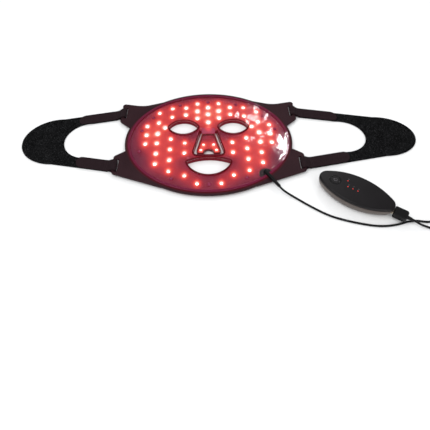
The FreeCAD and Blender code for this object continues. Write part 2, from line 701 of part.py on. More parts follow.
def tube(name, points, diameter):
    """Cable along straight runs joined by tangent arcs; prints its radii and checks its volume."""
    edges, radii = [], []
    here = points[0]
    for before, corner, after in zip(points, points[1:], points[2:]):
        back, ahead = before - corner, after - corner
        turn = math.pi - back.getAngle(ahead)
        reach = 0.45 * min(back.Length, ahead.Length)
        radii.append(reach / math.tan(turn / 2))
        first = corner + back.normalize() * reach
        last = corner + ahead.normalize() * reach
        inward = (back + ahead).normalize()
        middle = corner + inward * (radii[-1] / math.cos(turn / 2) - radii[-1])
        edges.append(Part.LineSegment(here, first).toShape())
        edges.append(Part.Arc(first, middle, last).toShape())
        here = last
    edges.append(Part.LineSegment(here, points[-1]).toShape())
    path = Part.Wire(edges)
    start = Part.Circle(points[0], points[1] - points[0], diameter / 2).toShape()
    solid = path.makePipeShell([Part.Wire([start])], True, False)
    expected = math.pi * diameter ** 2 / 4 * path.Length
    print("%s: length %.1f mm, smallest radius %.1f mm, volume ratio %.4f"
          % (name, path.Length, min(radii), solid.Volume / expected))
    print("  radii " + " ".join("%.1f" % radius for radius in radii))
    result = doc.addObject("Part::Feature", name)
    result.Shape = solid
    return keep(result, name)


def build_cable():
    lie = cell("cable_width") / 2
    start = relief_point + relief_way * cell("relief_length") + V(0, 0, relief_z)
    lead = [start, start + relief_way * 5.0 + V(0, 0, -0.6)]
    lead += [V(half_cover + x, y, z) for x, y, z in (
        (-15.2, -95.4, 4.3), (-7.2, -99.2, lie), (5.3, -109.6, lie), (17.8, -119.0, lie),
        (30.3, -127.3, lie), (43.3, -132.7, lie), (56.2, -136.9, lie), (69.2, -140.2, lie),
        (82.3, -142.8, lie), (96.1, -143.1, lie), (110.7, -140.6, lie), (121.1, -137.2, lie),
        (131.5, -136.1, lie), (143.5, -138.7, lie), (154.3, -136.9, lie))]
    coil = V(half_cover + cell("coil_gap"), cell("coil_y"), 0)
    outer = cell("coil_radius") + (cell("coil_columns") - 1) / 2 * cell("cable_width")
    lead.append(coil + V(-8.0, outer, lie))
    tube("cable_lead", lead, cell("cable_width"))

    across, stack = (cell("coil_columns") * cell("cable_width"),) * 2
    ring = Part.makeCylinder(cell("coil_radius") + across / 2, stack, coil)
    ring = ring.cut(Part.makeCylinder(cell("coil_radius") - across / 2, stack, coil))
    ring = ring.makeFillet(lie * 0.9, [edge for edge in ring.Edges if edge.Closed])
    body = doc.addObject("Part::Feature", "cable_coil")
    body.Shape = ring
    keep(body, "cable_coil")

    mask_from_case = MASK_PLACE.inverse().multiply(CASE_PLACE)
    end = cell("case_length") / 2 + cell("plug_gap") + cell("plug_length") + cell("boot_length")
    exit_point = mask_from_case.multVec(V(end, 0, cell("socket_level")))
    exit_way = mask_from_case.Rotation.multVec(V(1, 0, 0))
    tail = [exit_point, exit_point + exit_way * 5.0 + V(0, 0, -0.8)]
    tail += [V(half_cover + x, y, z) for x, y, z in (
        (133.8, -144.0, 4.0), (141.3, -145.0, lie), (148.1, -148.6, lie), (150.6, -156.2, lie),
        (152.7, -164.2, lie), (158.1, -170.2, 2.6))]
    tail.append(coil + V(-7.0, -outer - 0.3, 4.4))
    tube("cable_tail", tail, cell("cable_width"))


# ---------------------------------------------------------------- controller

def case_lens(grow=0.0):
    half, rise = cell("case_length") / 2, cell("case_width") / 2
    return lens(0, 0, half, rise, rise, cell("case_corner"), grow)


FLARE = 0.68
FLARE_LEVEL = 0.4


def tub_lens(share, inset):
    """Outline of the bottom shell, from its foot at share 0 to its seam at share 1."""
    def between(foot, full):
        return cell(foot) + (cell(full) - cell(foot)) * share

    rise = between("foot_width", "case_width") / 2
    corner = between("foot_corner", "case_corner")
    return lens(0, 0, between("foot_length", "case_length") / 2, rise, rise, corner, -inset)


def tub_section(share, inset, z):
    wire = Part.Wire([curve.toShape() for curve in tub_lens(share, inset)])
    wire.translate(V(0, 0, z))
    return wire


def build_bottom_shell():
    """Tapered tub with a slot at its pointed end for the socket."""
    top, wall = cell("seam_low"), cell("case_wall")
    flare_z = top * FLARE_LEVEL
    outer = Part.makeLoft([tub_section(0.0, 0.0, 0.0), tub_section(FLARE, 0.0, flare_z),
                           tub_section(1.0, 0.0, top)], True)
    inner = Part.makeLoft([tub_section(0.0, wall, wall), tub_section(FLARE, wall, flare_z),
                           tub_section(1.0, wall, top)], True)
    posts = [Part.makeCylinder(2.0, cell("board_low") - wall * 0.5, V(x, y, wall * 0.5))
             for x, y in SCREWS]
    pilots = [Part.makeCylinder(cell("screw_width") / 2 + 0.05, cell("board_low"), V(x, y, wall))
              for x, y in SCREWS]
    shell = outer.cut(inner).fuse(posts).cut(Part.makeCompound(pilots))
    width = cell("contact_width") + 2 * (cell("socket_gap") + cell("socket_wall")) + 0.2
    rise = cell("contact_height") + 2 * (cell("socket_gap") + cell("socket_wall")) + 0.2
    slot = Part.makeBox(20.0, width, rise,
                        V(cell("case_length") / 2 - 12.0, -width / 2, cell("socket_level") - rise / 2))
    result = doc.addObject("Part::Feature", "controller_bottom_shell")
    result.Shape = shell.cut(slot).removeSplitter()
    keep(result, "controller_bottom_shell", CASE_PLACE)


SCREWS = ((-20.0, 10.0), (-20.0, -10.0), (23.0, 8.5), (23.0, -8.5))


def indicator_spots():
    """Three dots in a row and one beside them."""
    return [(-10.3, -2.0), (-4.1, -2.0), (2.1, -2.0), (-13.5, 6.6)]


def build_top_shell():
    body = new_body("controller_top_shell")
    low, high = "Sizes.seam_low + Sizes.seam_rise", "Sizes.case_top"
    pad(body, "top_plate", case_lens(), low, high)
    top = cell("case_top")
    soften(body, "top_rounding", "Sizes.case_round", lambda edge: edge.BoundBox.ZMin > top - 1e-4)
    cut(body, "top_hollow", case_lens(-cell("case_wall") - 1.0), low, high + " - Sizes.case_wall")
    ring_radius = cell("button_width") / 2 + cell("button_gap") + cell("ring_width")
    cut(body, "button_hole", circle(cell("button_x"), 0, ring_radius), low, high)
    holes = []
    for x, y in indicator_spots():
        holes += circle(x, y, cell("lens_width") / 2)
    cut(body, "indicator_holes", holes, low, high)
    keep(body, "controller_top_shell", CASE_PLACE)


def build_case_trim():
    gasket = new_body("controller_gasket")
    inset = cell("gasket_inset")
    pad(gasket, "gasket_ring", case_lens(-inset) + case_lens(-inset - 2.0), "Sizes.seam_low",
        "Sizes.seam_low + Sizes.seam_rise")
    keep(gasket, "controller_gasket", CASE_PLACE)

    inner = cell("button_width") / 2 + cell("button_gap")
    ring = new_body("button_ring")
    pad(ring, "ring_band",
        circle(cell("button_x"), 0, inner + cell("ring_width")) + circle(cell("button_x"), 0, inner),
        "Sizes.case_top - Sizes.case_wall", "Sizes.case_top + Sizes.button_proud * 0.6")
    keep(ring, "button_ring", CASE_PLACE)

    button = new_body("power_button")
    base = "Sizes.case_top - Sizes.case_wall - Sizes.button_travel"
    pad(button, "button_cap", circle(cell("button_x"), 0, cell("button_width") / 2), base,
        "Sizes.case_top + Sizes.button_proud")
    top = cell("case_top") + cell("button_proud")
    soften(button, "button_rounding", "Sizes.button_proud", lambda edge: edge.BoundBox.ZMin > top - 1e-4)
    keep(button, "power_button", CASE_PLACE)

    low = cell("case_top") - cell("case_wall")
    lenses = [Part.makeCylinder(cell("lens_width") / 2, cell("case_wall"), V(x, y, low))
              for x, y in indicator_spots()]
    group("indicator_lenses", lenses, CASE_PLACE)


# place on the board, then length, width and rise
CHIPS = [(-8.0, 7.0, 7.0, 7.0, 1.0), (6.0, 8.0, 4.0, 3.0, 1.2), (14.0, -8.0, 5.0, 5.0, 1.6),
         (22.0, 5.0, 3.0, 2.0, 1.0), (-14.0, -8.0, 3.2, 1.6, 0.8)]


def build_electronics():
    board = new_body("controller_board")
    board_top = "Sizes.board_low + Sizes.board_thick"
    inset = cell("board_gap") + cell("case_wall")
    pad(board, "board_sheet", tub_lens(FLARE, inset), "Sizes.board_low", board_top)
    holes = []
    for x, y in SCREWS:
        holes += circle(x, y, cell("screw_width") / 2 + cell("screw_play"))
    cut(board, "screw_holes", holes, "Sizes.board_low", board_top)
    cut(board, "socket_cutout", rectangle(cell("case_length") / 2, 0, 20.0, cell("contact_width") + 3.0),
        "Sizes.board_low", board_top)
    keep(board, "controller_board", CASE_PLACE)

    top = cell("board_low") + cell("board_thick")
    shapes = [Part.makeBox(length, width, rise, V(x - length / 2, y - width / 2, top))
              for x, y, length, width, rise in CHIPS]
    group("board_components", shapes, CASE_PLACE)

    half = cell("tact_width") / 2
    base = block("tact_base", ("Sizes.tact_width", "Sizes.tact_width", "Sizes.tact_rise"),
                 FreeCAD.Placement(V(cell("button_x") - half, -half, top), FreeCAD.Rotation()))
    button_low = cell("case_top") - cell("case_wall") - 2 * cell("button_travel")
    plunger = cylinder("tact_plunger", "Sizes.plunger_width / 2", button_low - cell("plunger_gap") - top,
                       FreeCAD.Placement(V(cell("button_x"), 0, top), FreeCAD.Rotation()))
    keep(fuse("tact_switch", [base, plunger]), "tact_switch", CASE_PLACE)

    foot = cell("case_wall") + cell("fit_gap")
    rise = cell("board_low") - cell("battery_gap") - foot
    battery = block("battery_cell", ("Sizes.battery_length", "Sizes.battery_width", rise),
                    FreeCAD.Placement(V(0, 0, 0), FreeCAD.Rotation()))
    corner = CASE_PLACE.multVec(V(-cell("battery_length") / 2, -cell("battery_width") / 2, foot))
    keep(battery, "battery_cell", FreeCAD.Placement(corner, CASE_PLACE.Rotation))

    screws = []
    for x, y in SCREWS:
        shank_length = cell("shank_length")
        head = Part.makeCylinder(cell("screw_head") / 2, cell("head_rise"), V(x, y, top))
        shank = Part.makeCylinder(cell("screw_width") / 2, shank_length, V(x, y, top - shank_length))
        screws.append(head.fuse(shank))
    group("board_screws", screws, CASE_PLACE)


def slot_tube(length, width, rise, wall, start):
    """Flat tube with half-round sides, open at both ends, along X."""
    def stadium(extra):
        half, radius = width / 2 + extra - (rise / 2 + extra), rise / 2 + extra
        core = Part.makeBox(length, 2 * half, 2 * radius, start + V(0, -half, -radius))
        ends = [Part.makeCylinder(radius, length, start + V(0, y, 0), V(1, 0, 0)) for y in (-half, half)]
        return core.fuse(ends).removeSplitter()
    return stadium(wall).cut(stadium(0.0)) if wall else stadium(0.0)


def build_plug():
    mouth_x = cell("case_length") / 2
    z = cell("socket_level")
    gap, wall = cell("socket_gap"), cell("socket_wall")
    reach, metal = cell("contact_reach"), cell("metal_thick")
    socket = doc.addObject("Part::Feature", "usb_socket")
    width, rise = cell("contact_width") + 2 * gap, cell("contact_height") + 2 * gap
    inner_end = mouth_x - cell("socket_recess") - reach - cell("socket_depth")
    shell = slot_tube(reach + cell("socket_depth"), width, rise, wall, V(inner_end, 0, z))
    back = Part.makeBox(cell("socket_back"), width + 2 * wall, rise + 2 * wall,
                        V(inner_end - cell("socket_back"), -width / 2 - wall, z - rise / 2 - wall))
    socket.Shape = shell.fuse(back).removeSplitter()
    keep(socket, "usb_socket", CASE_PLACE)

    face = mouth_x + cell("plug_gap")
    tongue = block("socket_tongue",
                   (reach - cell("tongue_short"), "Sizes.tongue_width", "Sizes.tongue_thick"),
                   FreeCAD.Placement(V(0, 0, 0), FreeCAD.Rotation()))
    corner = CASE_PLACE.multVec(V(inner_end, -cell("tongue_width") / 2, z - cell("tongue_thick") / 2))
    keep(tongue, "socket_tongue", FreeCAD.Placement(corner, CASE_PLACE.Rotation))

    shell = doc.addObject("Part::Feature", "plug_contact_shell")
    shell.Shape = slot_tube(reach + cell("plug_gap"), cell("contact_width") - 2 * metal,
                            cell("contact_height") - 2 * metal, metal, V(mouth_x - reach, 0, z))
    keep(shell, "plug_contact_shell", CASE_PLACE)
    long, thick = cell("contact_pad_length"), cell("contact_pad_thick")
    contacts = [Part.makeBox(long, cell("contact_pad_width"), thick,
                             V(face - long, y, z + side * cell("contact_row") - thick / 2))
                for y in (-2.4, -1.4, -0.4, 0.6, 1.6, 2.4) for side in (-1, 1)]
    group("plug_contacts", contacts, CASE_PLACE)

    body = new_body("plug_body")
    half = cell("plug_width") / 2
    end = face + cell("plug_length")
    curves = rounded([(face, -half, 1.2), (end, -half, 3.0), (end, half, 3.0), (face, half, 1.2)])
    low, high = z - cell("plug_height") / 2, z + cell("plug_height") / 2
    pad(body, "plug_block", curves, "Sizes.socket_level - Sizes.plug_height / 2",
        "Sizes.socket_level + Sizes.plug_height / 2")
    soften(body, "plug_rounding", "Sizes.plug_height * 0.18",
           lambda edge: edge.BoundBox.ZMin > high - 1e-4 or edge.BoundBox.ZMax < low + 1e-4)
    keep(body, "plug_body", CASE_PLACE)
    boot = doc.addObject("Part::Cone", "plug_boot")
    boot.setExpression("Radius1", "Sizes.boot_width / 2")
    boot.setExpression("Radius2", "Sizes.cable_width / 2 + 0.5")
    boot.setExpression("Height", "Sizes.boot_length")
    keep(boot, "plug_boot", CASE_PLACE.multiply(FreeCAD.Placement(V(end, 0, z), ALONG_X)))


# ---------------------------------------------------------------- build and write

build_back_shell()
build_face_cover()
build_leds()
build_inner_sheets()
build_spacers()
build_nose_flap()
build_straps()
build_terminal()
build_relief()
build_lead_wires()
build_cable()
build_bottom_shell()
build_top_shell()
build_case_trim()
build_electronics()
build_plug()
doc.recompute()

faults = []
for obj in doc.Objects:
    if "Invalid" in obj.State or "Error" in obj.State:
        faults.append("%s is in state %s" % (obj.Name, obj.State))
for name, obj in pieces.items():
    if obj.Shape.isNull() or not obj.Shape.isValid() or not obj.Shape.Solids:
        faults.append("%s has no valid solid" % name)
if faults:
    raise SystemExit("; ".join(faults))

for name, obj in pieces.items():
    obj.Shape.exportStep("parts/%s.step" % name)
print("%d pieces written" % len(pieces))
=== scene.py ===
"""LED face mask, lit red, with its strap pads and corded controller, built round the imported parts."""

import json
import math

import bmesh
import bpy
from mathutils import Matrix, Vector, kdtree
from mathutils.geometry import delaunay_2d_cdt


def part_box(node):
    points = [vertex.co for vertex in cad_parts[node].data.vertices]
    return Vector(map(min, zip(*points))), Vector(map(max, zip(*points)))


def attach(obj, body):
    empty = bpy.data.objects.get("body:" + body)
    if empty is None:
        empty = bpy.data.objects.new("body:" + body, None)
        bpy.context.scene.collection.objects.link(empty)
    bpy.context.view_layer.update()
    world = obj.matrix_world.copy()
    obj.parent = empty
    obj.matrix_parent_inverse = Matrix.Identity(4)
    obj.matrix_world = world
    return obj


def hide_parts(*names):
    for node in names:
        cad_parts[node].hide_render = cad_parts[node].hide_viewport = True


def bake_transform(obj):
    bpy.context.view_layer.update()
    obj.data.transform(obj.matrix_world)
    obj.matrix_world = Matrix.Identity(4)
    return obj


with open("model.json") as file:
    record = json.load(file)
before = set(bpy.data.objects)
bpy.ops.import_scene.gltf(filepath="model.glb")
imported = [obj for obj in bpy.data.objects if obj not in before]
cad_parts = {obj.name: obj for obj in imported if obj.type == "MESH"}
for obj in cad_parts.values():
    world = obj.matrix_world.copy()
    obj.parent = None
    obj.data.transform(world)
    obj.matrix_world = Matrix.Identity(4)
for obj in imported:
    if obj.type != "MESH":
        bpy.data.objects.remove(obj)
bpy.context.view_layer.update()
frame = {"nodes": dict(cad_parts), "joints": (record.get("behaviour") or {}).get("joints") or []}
NODES = frame["nodes"]
JOINTS = {joint["name"]: joint for joint in frame["joints"]}
MM = 0.001
UP = Vector((0, 0, 1))
BLACK = (0.0, 0.0, 0.0)
WELD = 1e-5    # metres; nearer points of a CAD mesh are one


# ---------------------------------------------------------------- camera, floor and light

def place_camera():
    """Looks down on the mask at its own slope, with the mask in the upper half of the frame."""
    slope, distance, roll = math.radians(46.0), 0.5904, math.radians(-0.9)
    low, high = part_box("face_cover")
    target = (low + high) / 2
    target.z = 0.0
    data = bpy.data.cameras.new("camera")
    data.sensor_width = 36.0
    data.lens = 35.16
    data.shift_x, data.shift_y = 0.015, -0.171
    camera = bpy.data.objects.new("camera", data)
    bpy.context.scene.collection.objects.link(camera)
    away = Vector((0, -math.cos(slope), math.sin(slope)))
    turn = away.to_track_quat("Z", "Y").to_matrix() @ Matrix.Rotation(roll, 3, "Z")
    camera.matrix_world = Matrix.Translation(target + away * distance) @ turn.to_4x4()
    bpy.context.scene.camera = camera


def area_light(name, place, aim, size, power):
    """Oval lamp at a place, turned to face its aim."""
    data = bpy.data.lights.new(name, "AREA")
    data.shape = "ELLIPSE"
    data.size, data.size_y = size
    data.energy = power
    lamp = bpy.data.objects.new(name, data)
    lamp.location = place
    direction = Vector(aim) - Vector(place)
    lamp.rotation_euler = direction.to_track_quat("-Z", "Y").to_euler()
    bpy.context.scene.collection.objects.link(lamp)


def light_studio():
    """Even pale surroundings, dimmer in reflections, and two small lamps for the cover's highlights."""
    world = bpy.data.worlds.new("studio")
    bpy.context.scene.world = world
    world.use_nodes = True
    backdrop = world.node_tree.nodes["Background"]
    backdrop.inputs["Color"].default_value = (0.98, 0.99, 1.0, 1)
    rays = world.node_tree.nodes.new("ShaderNodeLightPath")
    dimmed = node(world.node_tree, "MapRange", Value=rays.outputs["Is Glossy Ray"],
                  To_Min=0.85, To_Max=0.20)
    world.node_tree.links.new(dimmed.outputs[0], backdrop.inputs["Strength"])
    area_light("overhead", (-0.5, -0.3, 1.4), (0, 0, 0), (1.2, 1.2), 8.0)
    area_light("brow_strip", (0.235, 1.14, 1.0), (0.06, 0.03, 0), (0.035, 0.19), 0.30)
    area_light("side_strip", (0.40, 0.95, 1.0), (0.09, 0, 0), (0.04, 0.26), 1.8)
    area_light("front_fill", (0.6, -1.2, 0.8), (0.15, -0.1, 0), (0.9, 0.5), 4.0)
    bpy.context.scene.view_settings.view_transform = "Standard"


# ---------------------------------------------------------------- shader helpers

def new_group(name, inputs, outputs):
    """Shader node group with named sockets, and its input and output nodes."""
    group = bpy.data.node_groups.new(name, "ShaderNodeTree")
    for label, kind, value in inputs:
        socket = group.interface.new_socket(label, in_out="INPUT", socket_type="NodeSocket" + kind)
        if value is not None:
            socket.default_value = value
    for label, kind in outputs:
        group.interface.new_socket(label, in_out="OUTPUT", socket_type="NodeSocket" + kind)
    return group, group.nodes.new("NodeGroupInput"), group.nodes.new("NodeGroupOutput")


def node(tree, kind, settings=None, **inputs):
    """Adds a shader node; settings are its properties, and inputs are values or sockets to link."""
    made = tree.nodes.new("ShaderNode" + kind)
    for key, value in (settings or {}).items():
        setattr(made, key, value)
    for key, value in inputs.items():
        index = int(key[1:]) if key[0] == "i" and key[1:].isdigit() else key.replace("_", " ")
        socket = made.inputs[index]
        if isinstance(value, bpy.types.NodeSocket):
            tree.links.new(value, socket)
        else:
            socket.default_value = value
    return made


def mix_colours(tree, share, first, second):
    """Output socket of a colour mix; each value is a number, a colour or a socket to link."""
    mixer = tree.nodes.new("ShaderNodeMix")
    mixer.data_type = "RGBA"
    for socket, value in ((mixer.inputs[0], share), (mixer.inputs[6], first), (mixer.inputs[7], second)):
        if isinstance(value, bpy.types.NodeSocket):
            tree.links.new(value, socket)
        else:
            socket.default_value = value if isinstance(value, float) else (*value[:3], 1)
    return mixer.outputs[2]


def grain_group():
    """Fine mottled surface: colour variation, roughness variation and a small bump."""
    group, given, result = new_group(
        "surface_grain",
        [("Scale", "Float", 900.0), ("Broad Scale", "Float", 30.0), ("Dark", "Color", None),
         ("Light", "Color", None), ("Rough Low", "Float", 0.4), ("Rough High", "Float", 0.6),
         ("Bump", "Float", 0.2), ("Depth", "Float", 0.0001)],
        [("Colour", "Color"), ("Roughness", "Float"), ("Normal", "Vector")])
    place = group.nodes.new("ShaderNodeTexCoord").outputs["Object"]
    fine = node(group, "TexNoise", Vector=place, Scale=given.outputs["Scale"], Detail=3.0)
    broad = node(group, "TexNoise", Vector=place, Scale=given.outputs["Broad Scale"], Detail=2.0)
    both = node(group, "Math", {"operation": "ADD"}, i0=fine.outputs[0], i1=broad.outputs[0])
    share = node(group, "MapRange", Value=both.outputs[0], From_Min=0.7, From_Max=1.3)
    colour = mix_colours(group, share.outputs[0], given.outputs["Dark"], given.outputs["Light"])
    rough = node(group, "MapRange", Value=share.outputs[0],
                 To_Min=given.outputs["Rough Low"], To_Max=given.outputs["Rough High"])
    edges = node(group, "Bevel", {"samples": 4}, Radius=0.5 * MM)
    bump = node(group, "Bump", Strength=given.outputs["Bump"], Distance=given.outputs["Depth"],
                Height=fine.outputs[0], Normal=edges.outputs[0])
    group.links.new(colour, result.inputs["Colour"])
    group.links.new(rough.outputs[0], result.inputs["Roughness"])
    group.links.new(bump.outputs[0], result.inputs["Normal"])
    return group


def weave_group():
    """Woven ribbon: warp ribs along the length crossed by weft, from the piece's UV in centimetres."""
    group, given, result = new_group(
        "woven_ribbon",
        [("Rib Pitch", "Float", 0.09), ("Weft Pitch", "Float", 0.06), ("Dark", "Color", None),
         ("Light", "Color", None), ("Depth", "Float", 0.0002)],
        [("Colour", "Color"), ("Normal", "Vector")])
    uv = group.nodes.new("ShaderNodeUVMap")
    parts = node(group, "SeparateXYZ", Vector=uv.outputs[0])
    waves = []
    for axis, pitch in ((1, "Rib Pitch"), (0, "Weft Pitch")):
        turns = node(group, "Math", {"operation": "DIVIDE"}, i0=parts.outputs[axis],
                     i1=given.outputs[pitch])
        angle = node(group, "Math", {"operation": "MULTIPLY"}, i0=turns.outputs[0], i1=2 * math.pi)
        waves.append(node(group, "Math", {"operation": "SINE"}, i0=angle.outputs[0]).outputs[0])
    product = node(group, "Math", {"operation": "MULTIPLY"}, i0=waves[0], i1=waves[1])
    height = node(group, "MapRange", Value=product.outputs[0], From_Min=-1.0, From_Max=1.0)
    place = group.nodes.new("ShaderNodeTexCoord").outputs["Object"]
    fuzz = node(group, "TexNoise", Vector=place, Scale=2600.0, Detail=2.0)
    total = node(group, "Math", {"operation": "MULTIPLY_ADD"}, i0=fuzz.outputs[0], i1=0.5,
                 i2=height.outputs[0])
    share = node(group, "MapRange", Value=total.outputs[0], From_Min=0.1, From_Max=1.3)
    colour = mix_colours(group, share.outputs[0], given.outputs["Dark"], given.outputs["Light"])
    bump = node(group, "Bump", Strength=0.8, Distance=given.outputs["Depth"], Height=total.outputs[0])
    group.links.new(colour, result.inputs["Colour"])
    group.links.new(bump.outputs[0], result.inputs["Normal"])
    return group


def pile_group():
    """Short looped pile: clumps of fibre, with painted shade in the gaps between them and painted glints on
    some fibre tips.
    """
    group, given, result = new_group(
        "loop_pile",
        [("Scale", "Float", 700.0), ("Dark", "Color", None), ("Light", "Color", None),
         ("Tips", "Color", (0.055, 0.055, 0.058, 1)), ("Depth", "Float", 0.0006)],
        [("Colour", "Color"), ("Normal", "Vector")])
    place = group.nodes.new("ShaderNodeTexCoord").outputs["Object"]
    clumps = node(group, "TexVoronoi", {"feature": "SMOOTH_F1"}, Vector=place,
                  Scale=given.outputs["Scale"])
    fibre = node(group, "TexNoise", Vector=place, Scale=2400.0, Detail=3.0)
    broad = node(group, "TexNoise", Vector=place, Scale=60.0, Detail=3.0)
    # painted shade: the colour darkens away from each clump's middle, into the gaps; the broad noise adds the
    # fibre's own uneven tone
    height = node(group, "Math", {"operation": "SUBTRACT"}, i0=fibre.outputs[0],
                  i1=clumps.outputs["Distance"])
    tone = node(group, "Math", {"operation": "MULTIPLY_ADD"}, i0=broad.outputs[0], i1=0.7,
                i2=height.outputs[0])
    share = node(group, "MapRange", Value=tone.outputs[0], From_Min=0.1, From_Max=0.95)
    # painted glints: a few fibre tips take the pale Tips colour
    tips = node(group, "TexNoise", Vector=place, Scale=1150.0, Detail=1.0)
    painted_tip_glint = node(group, "MapRange", Value=tips.outputs[0], From_Min=0.62, From_Max=0.72)
    ground = mix_colours(group, share.outputs[0], given.outputs["Dark"], given.outputs["Light"])
    colour = mix_colours(group, painted_tip_glint.outputs[0], ground, given.outputs["Tips"])
    bump = node(group, "Bump", Strength=1.0, Distance=given.outputs["Depth"], Height=height.outputs[0])
    group.links.new(colour, result.inputs["Colour"])
    group.links.new(bump.outputs[0], result.inputs["Normal"])
    return group


def reach_group():
    """How far out a place lies in the oval: 0 at its middle and 1 at the cover's edge."""
    group, _, result = new_group("oval_reach", [], [("Reach", "Float")])
    low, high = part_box("face_cover")
    middle, half = (low + high) / 2, (high - low) / 2
    place = group.nodes.new("ShaderNodeTexCoord").outputs["Object"]
    moved = node(group, "VectorMath", {"operation": "SUBTRACT"}, i0=place,
                 i1=(middle.x, middle.y, 0.0))
    scaled = node(group, "VectorMath", {"operation": "MULTIPLY"}, i0=moved.outputs[0],
                  i1=(1 / half.x, 1 / half.y, 0.0))
    length = node(group, "VectorMath", {"operation": "LENGTH"}, i0=scaled.outputs[0])
    group.links.new(length.outputs["Value"], result.inputs["Reach"])
    return group


GRAIN = grain_group()
WEAVE = weave_group()
PILE = pile_group()
REACH = reach_group()


def blank_material(name, **values):
    """New material with its Principled values set on the shader's own sockets."""
    made = bpy.data.materials.new(name)
    made.use_nodes = True
    shader = made.node_tree.nodes["Principled BSDF"]
    for key, value in values.items():
        shader.inputs[key.replace("_", " ")].default_value = value
    return made, made.node_tree, shader


def feed(tree, shader, **sources):
    """Links each output socket to the shader's input that it is named for."""
    for key, socket in sources.items():
        tree.links.new(socket, shader.inputs[key.replace("_", " ")])


def use_group(tree, group, **values):
    """Places a shader node group with its own values."""
    placed = tree.nodes.new("ShaderNodeGroup")
    placed.node_tree = group
    for key, value in values.items():
        placed.inputs[key.replace("_", " ")].default_value = value
    return placed


def grained(name, dark, light, rough, scale=900.0, broad=30.0, bump=0.2, depth=0.1 * MM, **values):
    """Material with the shared surface grain, between two colours and two roughnesses."""
    made, tree, shader = blank_material(name, **values)
    placed = use_group(tree, GRAIN, Scale=scale, Broad_Scale=broad, Dark=(*dark, 1), Light=(*light, 1),
                       Rough_Low=rough[0], Rough_High=rough[1], Bump=bump, Depth=depth)
    feed(tree, shader, Base_Color=placed.outputs["Colour"], Roughness=placed.outputs["Roughness"],
         Normal=placed.outputs["Normal"])
    return made


def fabric(name, group, dark, light, rough, gloss):
    """Fabric material from the weave or the pile group."""
    made, tree, shader = blank_material(name, Roughness=rough, Specular_IOR_Level=gloss)
    placed = use_group(tree, group, Dark=(*dark, 1), Light=(*light, 1))
    feed(tree, shader, Base_Color=placed.outputs["Colour"], Normal=placed.outputs["Normal"])
    return made


def clear_silicone():
    """Clear moulded cover: slow ripples break up its reflections, and its raised lips are smoky, with painted
    LED light on them: a red glow, and a lighter purple colour and glow at the rim.
    """
    made, tree, shader = blank_material("clear_silicone", Roughness=0.12, IOR=1.12, Transmission_Weight=1.0,
                                        Coat_Weight=1.0, Coat_Roughness=0.05, Coat_IOR=1.42,
                                        Emission_Strength=1.0)
    place = tree.nodes.new("ShaderNodeTexCoord").outputs["Object"]
    ripple = node(tree, "TexNoise", Vector=place, Scale=30.0, Detail=1.6)
    fine = node(tree, "TexNoise", Vector=place, Scale=500.0, Detail=1.0)
    height = node(tree, "Math", {"operation": "MULTIPLY_ADD"}, i0=fine.outputs[0], i1=0.02,
                  i2=ripple.outputs[0])
    bump = node(tree, "Bump", Strength=0.4, Distance=0.004, Height=height.outputs[0])
    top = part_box("face_cover")[1].z
    parts = node(tree, "SeparateXYZ", Vector=place)
    lips = node(tree, "MapRange", Value=parts.outputs[2], From_Min=top - 1.15 * MM, From_Max=top - 0.75 * MM)
    clear = mix_colours(tree, ripple.outputs[0], (0.95, 0.86, 0.92), (0.99, 0.93, 0.96))
    reach = use_group(tree, REACH)
    rim = node(tree, "MapRange", Value=reach.outputs[0], From_Min=0.88, From_Max=0.93)
    # painted light at the rim: the lips' smoky colour turns a lighter purple there
    smoke = mix_colours(tree, rim.outputs[0], (0.030, 0.003, 0.006), (0.085, 0.014, 0.040))
    colour = mix_colours(tree, lips.outputs[0], clear, smoke)
    # painted LED light: the lips glow red, more strongly and more purple at the rim
    haze = mix_colours(tree, rim.outputs[0], (0.075, 0.004, 0.008), (0.125, 0.014, 0.040))
    painted_glow = mix_colours(tree, lips.outputs[0], BLACK, haze)
    gloss = node(tree, "MapRange", Value=lips.outputs[0], To_Min=1.0, To_Max=0.45)
    feed(tree, shader, Base_Color=colour, Emission_Color=painted_glow, Coat_Weight=gloss.outputs[0],
         Normal=bump.outputs[0], Coat_Normal=bump.outputs[0])
    return made


def lit_panel():
    """Reflector film with the LEDs' light painted on as a glow: the glow attribute says how strongly."""
    made, tree, shader = blank_material("lit_panel", Roughness=0.5, Emission_Strength=1.0)
    glow = tree.nodes.new("ShaderNodeAttribute")
    glow.attribute_name = "glow"
    place = tree.nodes.new("ShaderNodeTexCoord").outputs["Object"]
    mottle = node(tree, "TexNoise", Vector=place, Scale=120.0, Detail=3.0)
    base = mix_colours(tree, mottle.outputs[0], (0.12, 0.018, 0.050), (0.17, 0.026, 0.072))
    # painted pools of LED light: the ramp turns the glow from dark red through red to white-hot at the LEDs
    ramp = tree.nodes.new("ShaderNodeValToRGB")
    stops = ((0.0, (0.05, 0.001, 0.012)), (0.12, (0.20, 0.006, 0.012)), (0.28, (0.56, 0.024, 0.014)),
             (0.45, (0.80, 0.06, 0.028)), (0.64, (1.0, 0.22, 0.12)), (0.84, (1.0, 0.90, 0.75)),
             (1.0, (1.0, 1.0, 0.92)))
    ramp.color_ramp.elements[0].position, ramp.color_ramp.elements[0].color = 0.0, (*stops[0][1], 1)
    ramp.color_ramp.elements[1].position, ramp.color_ramp.elements[1].color = 1.0, (*stops[-1][1], 1)
    for position, colour in stops[1:-1]:
        ramp.color_ramp.elements.new(position).color = (*colour, 1)
    uneven = node(tree, "MapRange", Value=mottle.outputs[0], From_Min=0.3, From_Max=0.7,
                  To_Min=0.9, To_Max=1.1)
    level = node(tree, "Math", {"operation": "MULTIPLY"}, i0=glow.outputs["Fac"], i1=uneven.outputs[0])
    tree.links.new(level.outputs[0], ramp.inputs[0])
    feed(tree, shader, Base_Color=base, Emission_Color=ramp.outputs[0])
    return made


